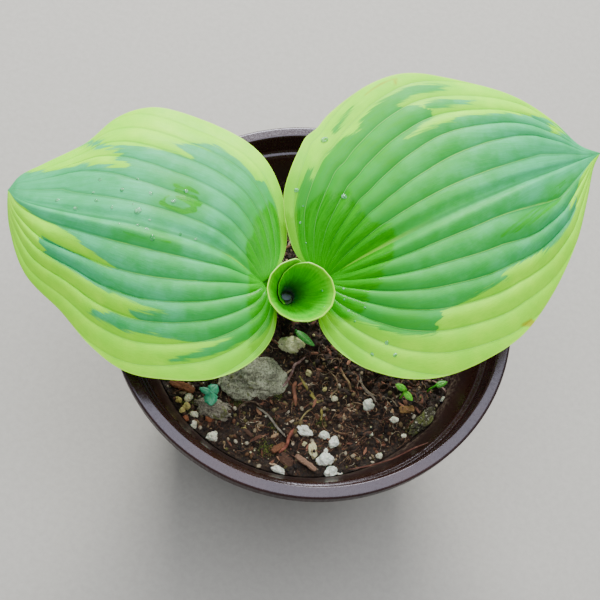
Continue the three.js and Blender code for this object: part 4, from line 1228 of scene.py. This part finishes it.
# place in plan, half sizes, turn in degrees, yellowness
perliteGrains = [
    (21.5, -54.1, 2.9, 2.6, 2.3, 20, 0.0), (24.7, -58.4, 2.5, 1.9, 1.8, 70, 0.1),
    (10.4, -45.3, 2.9, 1.9, 1.8, -10, 0.1), (18.6, -44.6, 1.8, 1.6, 1.5, 0, 0.2),
    (23.2, -46.4, 2.1, 1.8, 1.7, 60, 0.1), (15.7, -52.1, 2.7, 1.5, 1.3, 105, 0.6),
    (4.5, -63, 2.6, 1.3, 1.1, -8, 0.2), (33, -27.6, 2.1, 1.9, 1.7, 80, 0.2),
    (44.6, -30.4, 1.6, 1.3, 1.2, 30, 0.3), (6.4, -20.9, 1.3, 1.1, 1.1, 0, 0.7),
    (42.4, -45.6, 1.2, 1.1, 1.1, 0, 0.4), (63.2, -15.4, 1.3, 1.2, 1.1, 0, 0.3),
    (-23.9, -57.2, 2, 1.7, 1.6, 30, 0.3), (-32.5, -54.6, 1.3, 1.3, 1.2, 50, 0.4),
    (-37.2, -48.2, 1.4, 1.3, 1.2, 10, 0.9), (18.6, -29.1, 1.4, 1.2, 1.1, 0, 0.5),
    (-37.6, -44.4, 1.7, 1.5, 1.3, 40, 0.5),
]
# smaller neighbours of the same kinds, with no solid of their own
looseGrains = [
    (-41.2, -46.4, 1.3, 1.1, 1.0, 20, 1.0), (-38.4, -50.2, 1.2, 1.0, 0.9, 70, 0.9),
    (-36.2, -53.0, 1.3, 1.1, 0.9, 0, 1.3), (-33.4, -50.6, 1.6, 1.2, 1.1, 30, 0.45),
    (-27.2, -50.6, 1.4, 1.1, 1.0, 0, 1.3), (11.8, -50.0, 1.0, 0.9, 0.8, 15, 0.6),
    (28.4, -57.8, 1.1, 0.9, 0.8, 40, 0.3), (20.4, -50.6, 1.2, 0.9, 0.9, 0, 0.2),
    (36.8, -38.4, 0.9, 0.8, 0.7, 0, 0.4), (14.2, -26.2, 0.9, 0.7, 0.7, 50, 0.8),
    (50.2, -34.8, 0.9, 0.8, 0.7, 0, 0.4), (-12.8, -50.4, 1.0, 0.8, 0.7, 0, 0.9),
]

perliteCrumbs = {"count": 150, "size": (0.22, 0.5), "inside": 0.94, "seed": 71}


def makePerlite():
    # The large grains that the solids stand for, and a scatter of crumbs of the same stuff
    shapes = []
    for k, (x, y, *half, turn, tint) in enumerate(perliteGrains + looseGrains):
        place = (x, y, mixHeight(x, y) + 0.35 * half[2] + 0.3)
        shapes.append(stoneShape(half, turn, place, 2.3 * k, 0.75, (26, 36), tint=tint))
    grains = heldInside(joined(shapes))
    names = [f"perlite_{k + 1}" for k in range(len(perliteGrains))]
    finish = perliteMaterial()
    makePiece("perliteGrains", grains, finish, names, sharp=180)
    count, (least, more) = perliteCrumbs["count"], perliteCrumbs["size"]
    dice = np.random.default_rng(perliteCrumbs["seed"])
    x, y, z = onMix(count, dice, perliteCrumbs["inside"])
    size = least + more * dice.random(count) ** 3
    points, quads = ball(5, 6)
    crumbs = copies(shapeOf(points * (1 + 0.2 * latticeNoise(points, 0.8, 5)[:, None]), quads),
                    anyTurns(count, dice) * size[:, None, None], np.stack([x, y, z + 0.3], axis=-1),
                    tint=0.2 + 0.6 * dice.random(count))
    makePiece("perliteCrumbs", crumbs, finish, sharp=180)


makePerlite()
print("stones and perlite made")


# ---- bark and roots ----

# place in plan, half length, width and thickness, turn in degrees, colour from 0 dark to 1 pale
barkChips = [
    ((-41.5, -40.6), (5.4, 1.7, 0.9), -8, 0.62), ((14.2, -57.6), (4.9, 1.2, 0.8), -22, 0.85),
    ((6.4, -58.6), (3.2, 1.7, 0.8), -24, 0.35), ((48.6, -24.7), (3.2, 1.6, 0.8), 25, 0.7),
    ((2.3, -54.6), (3.2, 1.4, 0.9), 48, 0.55), ((24.6, -32.6), (4.2, 1.4, 0.8), 64, 0.45),
]


def barkMaterial():
    # Fibrous bark: long grain with dark cracks and paler worn patches
    finish = Finish("barkChip")
    tint, side = finish.value("tint"), finish.value("side")
    grain = finish.noise(finish.vector(finish.times(side, 26), finish.value("share"), tint), 1.0, 5, 0.7)
    fine = finish.noise(finish.place(), 0.5, 4, 0.7)
    base = finish.ramp(tint, [(0.3, "4c3222"), (0.5, "744a34"), (0.62, "9c5f34"), (0.72, "94743c"), (0.85, "a8826a")])
    base = finish.mix(finish.between(grain, 0.4, 0.6, 0.0, 0.8), base, "2c1a10")
    base = finish.mix(finish.between(fine, 0.55, 0.75, 0.0, 0.4), base, "d0ab84")
    return finish.dress(Base_Color=base, Roughness=0.8, Normal=finish.bump(finish.plus(grain, fine), 0.35, 0.8))


def makeBark():
    # Each chip is a flattened tube whose section is a ragged rounded box, bent a little along its length
    shapes = []
    for k, ((x, y), (length, width, thick), turn, tint) in enumerate(barkChips):
        share = np.linspace(-1, 1, 26)
        rise = 0.5 * np.sin(2 * share + k)
        path = np.stack([share * length, 0 * share, rise], axis=-1)
        angle = evenAngles(28)
        corner = np.stack([np.repeat(share[:, None], 28, 1) * 3, np.cos(angle)[None] + 0 * share[:, None],
                           np.sin(angle)[None] + 0 * share[:, None] + 9 * k], axis=-1)
        ragged = 1 + 0.22 * latticeNoise(corner, 0.7, 61) + 0.12 * latticeNoise(corner, 0.3, 62)
        taper = (1 - 0.4 * np.abs(share) ** 5)[:, None]
        wide = 1 / np.maximum(np.abs(np.sin(angle)) / width, np.abs(np.cos(angle)) / thick)[None]
        reach = np.minimum(wide, width) * ragged * taper * 0.95
        chip = tube(path, reach, (0, 1, 0), tint=tint, share=share, side=0.0)
        spread = np.tile(np.sin(angle), len(share) + 2)
        chip["values"]["side"] = spread + k
        place = np.array([x, y, mixHeight(x, y) + 0.5 * thick + 0.35])
        chip["points"] = chip["points"] @ turned(turn)[0].T + place
        shapes.append(chip)
    names = [f"bark_{k + 1}" for k in range(len(barkChips))]
    makePiece("barkChips", joined(shapes), barkMaterial(), names, sharp=60)


# path in plan, with a height where it leaves the mix; radius; shares of the length with a knot; main, light and dark
# colour; lift: how far its middle arches up
strands = {
    "root_olive": {"path": [(2.9, -23.4), (6.5, -27.4), (9.6, -29.8), (13.6, -33.6), (15.6, -36.4), (15.9, -39)],
                   "radius": 0.62, "knots": (0.0, 0.45),
                   "colours": ("6d6424", "a39a48", "4a3f1a")},
    "root_grey": {"path": [(-10.4, -40.6), (-5.4, -43.2), (-0.6, -46.4), (4, -49.6)], "radius": 0.5,
                  "colours": ("6e675b", "9a9284", "3f382e")},
    "straw_red": {"path": [(31.4, -55.2), (38.9, -52.6, 89), (45.9, -49.5, 94.5), (52.6, -45, 101.5),
                           (56.8, -42.6, 105)], "radius": 0.36, "colours": ("5a3226", "8a5f4c", "351a12")},
    "root_pale": {"path": [(26.6, -15.4), (29.6, -20.5), (34.4, -23.4), (38.6, -28.2)], "radius": 0.5,
                  "colours": ("82766a", "b3a795", "4c4238")},
    "husk_brown": {"path": [(2.3, -25.4), (1.9, -28.8), (3.1, -32.6), (4.6, -36.6)], "radius": 0.9,
                   "colours": ("6b3f2b", "9c6547", "35190f")},
}
# more roots of the same kind, too fine for the solids
fineRoots = {
    "root_arched": {"path": [(3.4, -14.8), (1.4, -17.9), (-0.2, -20.4), (-0.4, -23.2), (-1.7, -28.6), (-4.5, -32.4),
                             (-6.6, -33.4)], "radius": 0.6, "colours": ("5d3a34", "a58c86", "33201a"), "lift": 1.6},
    "root_forked": {"path": [(54.1, -7.9), (56.6, -7.9), (59.1, -9.0), (61.9, -10.6), (64.3, -12.2)], "radius": 0.34,
                    "colours": ("8a6a60", "b79c90", "4c362e"), "lift": 0.8},
    "root_tan": {"path": [(18.6, -15.6), (20.6, -18.4), (23.4, -21.4), (25.1, -24.7)], "radius": 0.55,
                 "colours": ("6b5030", "a08a5c", "3a2818"), "lift": 0.8},
    "root_rusty": {"path": [(6.3, -45.8), (5.3, -49.4), (5.1, -52.9), (3.1, -56.4)], "radius": 0.75,
                   "colours": ("6e3626", "a05a44", "3c1a10"), "lift": 0.8},
    "root_looped": {"path": [(14.5, -18.7), (17.7, -21.1), (19.1, -25.1), (17.4, -28.8), (20.6, -30)], "radius": 0.3,
                    "colours": ("5f4a30", "97845c", "38281a"), "lift": 1.2},
    "root_buried": {"path": [(11.6, -35), (9.1, -38.3), (8.1, -43), (10.6, -45.9)], "radius": 0.36,
                    "colours": ("6a5a34", "a3965e", "3e3118"), "lift": 0.6},
    "root_dark": {"path": [(-17.7, -45.1), (-15.6, -41.1), (-11.9, -39.1), (-8.2, -40.6)], "radius": 0.4,
                  "colours": ("4c3a2a", "7d6a52", "2b1e14"), "lift": 0.6},
    "root_wiry": {"path": [(23.3, -15.6), (29, -19.8), (33.4, -22.3), (41.5, -22.2), (46.8, -26.4)], "radius": 0.26,
                  "colours": ("6f5c48", "a59478", "40301f"), "lift": 1.0},
}


def strandMaterial(name, main, light, dark):
    # Dry root or straw: fine lengthwise lines, lighter worn places and dark joints
    finish = Finish(name)
    line = finish.noise(finish.vector(finish.times(finish.value("side"), 9),
                                      finish.times(finish.value("share"), 5), 0.0), 1.0, 4, 0.7)
    patch = finish.noise(finish.place(), 1.8, 4, 0.6)
    base = finish.mix(finish.between(patch, 0.42, 0.66, 0.0, 0.8), main, light)
    base = finish.mix(finish.between(line, 0.48, 0.66, 0.0, 0.65), base, dark)
    return finish.dress(Base_Color=base, Roughness=0.7, Normal=finish.bump(line, 0.15, 0.7))


def makeStrands():
    # A tube whose radius swells and thins along it, with round knots, thinner at both ends
    for name, strand in {**strands, **fineRoots}.items():
        radius = strand["radius"]
        controls = [(p[0], p[1], p[2] if len(p) > 2 else mixHeight(p[0], p[1]) + radius * 0.5 + 0.35)
                    for p in strand["path"]]
        share = np.linspace(0, 1, 70)
        path = alongSpline(controls, share)
        path[:, 2] += strand.get("lift", 0) * np.sin(np.pi * share) ** 0.7
        wander = np.stack([share * 9, 0 * share + radius * 7, 0 * share], axis=-1)
        path[:, 2] += 0.3 * latticeNoise(wander, 1.0, 81) * np.sin(np.pi * share)
        angle = evenAngles(14)
        ends = np.minimum(1, 0.35 + 4 * np.minimum(share, 1 - share))
        section = 1 + 0.12 * np.sin(3 * angle)[None] + 0.15 * latticeNoise(wander, 0.6, 83)[:, None]
        swelling = 1 + sum(0.7 * np.exp(-((share - knot) / 0.045) ** 2) for knot in strand.get("knots", ()))
        reach = radius * 0.9 * (ends * swelling)[:, None] * section
        shape = tube(path, reach, (0, 0, 1), share=share * 10)
        shape["values"]["side"] = np.tile(np.abs(np.sin(angle / 2)), len(share) + 2)
        piece = pieceName(*name.split("_"))
        nodes = [name] if name in strands else []
        makePiece(piece, heldInside(shape), strandMaterial(piece, *strand["colours"]), nodes, sharp=180)


makeBark()
makeStrands()
print("bark and roots made")


# ---- seedlings and moss ----

# foot and tip of the stem in plan; height; colours; how strongly its veins show; leaves as direction in degrees,
# length, width and rise in degrees
seedlings = {
    "seedling_lobed": {"foot": (-29.8, -40.6), "tip": (-29.4, -42.4), "height": 5.6,
                       "colours": ("26966a", "48b488"), "veins": 0.1,
                       "leaves": [(172, 4.6, 3.0, 8), (290, 5.4, 5.8, 2), (62, 4.0, 5.2, 8)]},
    "seedling_pair": {"foot": (45.2, -20.2), "tip": (46.2, -17.4), "height": 4.6,
                      "colours": ("44b414", "7cd834"), "veins": 0.4,
                      "leaves": [(166, 4.6, 2.8, 12), (-34, 4.8, 2.8, 4)]},
    "seedling_single": {"foot": (55.6, -13.4), "tip": (58.4, -11.6), "height": 5.2,
                        "colours": ("2f8c10", "58b828"), "veins": 0.4,
                        "leaves": [(34, 5, 2.6, 16)]},
    "seedling_slender": {"foot": (-3.6, -5.6), "tip": (-3.2, -7.4), "height": 5,
                         "colours": ("1c7a1c", "48a640"), "veins": 0.4,
                         "leaves": [(-27, 9.8, 3.2, 6)]},
}


def seedlingMaterial(name, dark, light, veins):
    # Small fresh leaf: a pale midrib, paler edges and a soft shine
    finish = Finish(name)
    fine = finish.noise(finish.place(), 0.8, 4, 0.6)
    side = finish.math("ABSOLUTE", finish.value("side"))
    base = finish.mix(finish.between(fine, 0.3, 0.7), dark, light)
    base = finish.mix(finish.between(side, 0.14, 0.03, 0.0, veins), base, "b4e090")
    base = finish.mix(finish.between(side, 0.85, 1.0, 0.0, veins * 0.5), base, "c8f0a0")
    return finish.dress(Base_Color=base, Roughness=0.38, Subsurface_Weight=0.15, Subsurface_Scale=0.001,
                        Normal=finish.bump(fine, 0.15, 0.5))


def makeSeedlings():
    # A thin bent stem, and pointed oval leaves that arch across and rise along their length
    for name, plant in seedlings.items():
        foot, tip = plant["foot"], plant["tip"]
        ground = float(mixHeight(*foot))
        controls = [(*foot, ground - 3), ((2 * foot[0] + tip[0]) / 3, (2 * foot[1] + tip[1]) / 3,
                                          ground + 0.6 * plant["height"]), (*tip, ground + plant["height"])]
        path = alongSpline(controls, np.linspace(0, 1, 24))
        shapes = [tube(path, np.full((24, 12), 0.42), (1, 0, 0), side=0.5, under=0.0)]
        for k, (direction, length, width, lift) in enumerate(plant["leaves"]):
            start = alongSpline(controls, 0.94 - 0.1 * k)
            u, v = np.meshgrid(np.linspace(0, 1, 33), np.linspace(-1, 1, 21), indexing="ij")
            along = turned(direction)[0] @ [1, 0, 0]
            across = turned(direction)[0] @ [0, 1, 0]
            half = width / 2 * np.sin(np.pi * u**0.8) ** 0.75
            lobes = 1 - (0.16 * np.abs(np.sin(3 * np.pi * u)) * np.abs(v) ** 3 if name == "seedling_lobed" else 0)
            rise = (length * u * math.tan(math.radians(lift)) - 0.5 * v**2 * half - 0.8 * u**2
                    + 0.25 * np.abs(v) ** 0.7 * half)
            points = (start + along * (length * u)[..., None] + across * (half * v * lobes)[..., None]
                      + np.array([0, 0, 1.0]) * rise[..., None])
            shapes.append(sheet(points, 0.35, side=v))
        piece = pieceName(*name.split("_"))
        makePiece(piece, joined(shapes), seedlingMaterial(piece, *plant["colours"], plant["veins"]),
                  [name], sharp=75)


# patches of moss: place in plan, spread, number of blades
mossPatches = [
    ((-2.4, -56.2), 3.6, 420), ((-37.5, -47.0), 4.2, 380), ((-30.2, -34.5), 3.4, 300), ((-3.6, -33.6), 2.6, 220),
    ((54.0, -30.5), 3.6, 300), ((-18.5, -41.5), 3.2, 200), ((16.4, -39.6), 2.0, 90), ((-2.2, -46.0), 2.4, 120),
]


def makeMoss():
    # Tiny upright spindles, denser in the middle of each patch
    dice = np.random.default_rng(91)
    points, quads = ball(4, 4)
    points = points * [0.16, 0.16, 0.5] + [0, 0, 0.35]
    places, turns, tints = [], [], []
    for (x, y), spread, count in mossPatches:
        dx, dy = dice.normal(0, spread / 2, (2, count))
        px, py = x + dx, y + dy
        keep = np.hypot(px, py) < wallRadius(mixSizes["litterLevel"]) * 0.97
        px, py = px[keep], py[keep]
        places.append(np.stack([px, py, mixHeight(px, py) + crumbling(px, py)], axis=-1))
        tilt = anyTurns(len(px), dice) * 0.45 + np.eye(3) * 0.75
        turns.append(tilt * (0.6 + 0.9 * dice.random(len(px)))[:, None, None])
        tints.append(dice.random(len(px)))
    shape = copies(shapeOf(points, quads), np.concatenate(turns), np.concatenate(places), tint=np.concatenate(tints))
    makePiece("mossTufts", shape, litterMaterial("moss", "moss"), sharp=180)


makeSeedlings()
makeMoss()
print("seedlings and moss made")


# ---- water ----

# leaf, share of the length, ribs from the midrib (near side negative), radius in mm
waterDrops = [
    (leftLeaf, 0.801, 0.74, 0.75), (leftLeaf, 0.739, 0.32, 0.8), (leftLeaf, 0.684, 0.86, 0.75),
    (leftLeaf, 0.69, 2.17, 0.7), (leftLeaf, 0.635, 0.55, 0.6), (leftLeaf, 0.621, 1.59, 0.85),
    (leftLeaf, 0.56, 0.6, 1.35), (leftLeaf, 0.548, -0.07, 0.6), (leftLeaf, 0.519, -0.21, 0.7),
    (leftLeaf, 0.542, 1.64, 0.8), (leftLeaf, 0.495, -0.63, 1.0), (leftLeaf, 0.417, 0.05, 0.6),
    (leftLeaf, 0.364, 0.05, 0.6), (rightLeaf, 0.338, 6.21, 1.3), (rightLeaf, 0.218, 6.1, 0.9),
    (rightLeaf, 0.285, 3.3, 1.1), (rightLeaf, 0.236, -6.05, 0.7), (rightLeaf, 0.269, -5.26, 0.85),
    (rightLeaf, 0.285, -5.88, 0.75), (leftLeaf, 0.475, 1.55, 0.9), (leftLeaf, 0.455, 2.3, 0.8),
    (leftLeaf, 0.59, 2.3, 0.6), (leftLeaf, 0.6, -0.3, 0.5), (leftLeaf, 0.58, 0.9, 0.45),
    (rightLeaf, 0.15, -3.2, 0.4), (rightLeaf, 0.17, -3.9, 0.5), (rightLeaf, 0.19, -4.5, 0.45),
    (rightLeaf, 0.14, -2.3, 0.4), (rightLeaf, 0.215, -3.5, 0.45), (rightLeaf, 0.12, 4.8, 0.35),
    (rightLeaf, 0.16, 5.4, 0.45), (rightLeaf, 0.2, 5.3, 0.4), (leftLeaf, 0.7, 1.4, 0.5), (leftLeaf, 0.52, 0.3, 0.45),
]
rolledDrops = [(0.6, 0.86, 0.75), (0.53, 0.93, 0.5)]  # share round the roll, share of its height, radius in mm
throatWaterGlint = {"share": 0.5, "half": (1.9, 1.7, 0.45), "lean": 16.0}
dropSizes = {"grid": (22, 30), "flat": 0.45, "uneven": 0.12, "lift": 0.35, "rolled": 0.8}


def waterMaterial(name, base, alpha):
    # Water as a green or pale film, with pale patches of painted reflection where its ripple is high, a sharp gloss and
    # a slight ripple; alpha is how much of it shows
    finish = Finish(name)
    ripple = finish.noise(finish.place(), 1.4, 3)
    # painted reflection: pale patches where the ripple noise is high
    shade = finish.mix(finish.between(ripple, 0.35, 0.75), base, "b4ecc8")
    return finish.dress(Base_Color=shade, Roughness=0.04, IOR=1.33, Alpha=alpha,
                        Normal=finish.bump(ripple, 0.2, 0.5))


def bladePoint(leaf, u, ribs):
    # Place and normal on the blade
    v = 0.5 + ribs / leafSizes["ribs"] / 2
    uu = np.array([[u - 0.01, u - 0.01], [u + 0.01, u + 0.01]])
    vv = np.array([[v - 0.02, v + 0.02], [v - 0.02, v + 0.02]])
    corners = bladeAt(leaf, uu, vv)
    normal = unit(np.cross(corners[1, 0] - corners[0, 1], corners[1, 1] - corners[0, 0]))
    normal = normal * np.sign(normal[2])
    return bladeAt(leaf, np.array([u]), np.array([v]))[0], normal


def makeDrops():
    # Each drop is a flattened ball, half sunk in the blade, with a slightly uneven outline.
    # A little water stands in the rolled leaf's throat, on the stalk's end, tilted to the leaf's lean; its pale blue
    # colour is a painted glint.
    s, shapes = dropSizes, []
    drop, quads = ball(*s["grid"])
    for k, (leaf, u, ribs, radius) in enumerate(waterDrops):
        place, normal = bladePoint(leaf, u, ribs)
        lump = 1 + s["uneven"] * np.sin(2 * np.arctan2(drop[:, 1], drop[:, 0]) + k)
        points = drop * [radius, radius, s["flat"] * radius] * lump[:, None]
        right = unit(np.cross([0, 1, 0], normal))
        axes = np.stack([right, np.cross(normal, right), normal], axis=1)
        shapes.append(shapeOf(points @ axes.T + place + normal * s["lift"], quads))
    for u, v, radius in rolledDrops:
        shapes.append(shapeOf(drop * radius * s["rolled"] + rolledAt(np.array([u]), np.array([v]))[0], quads))
    makePiece("waterDrops", joined(shapes), waterMaterial("water", "2c9c4c", 0.55), sharp=180)
    lean = math.radians(throatWaterGlint["lean"])
    tilt = np.array([[1, 0, 0], [0, math.cos(lean), math.sin(lean)], [0, -math.sin(lean), math.cos(lean)]])
    place = alongSpline(rolledSizes["axis"], throatWaterGlint["share"]) + [0, 0, 0.5]
    shape = shapeOf((drop * throatWaterGlint["half"]) @ tilt.T + place, quads)
    # pale blue film at full alpha: a painted glint on the water
    makePiece("throatWaterGlint", shape, waterMaterial("throatWaterGlint", "d4ecfc", 1.0), sharp=180)


makeDrops()
print("water made")
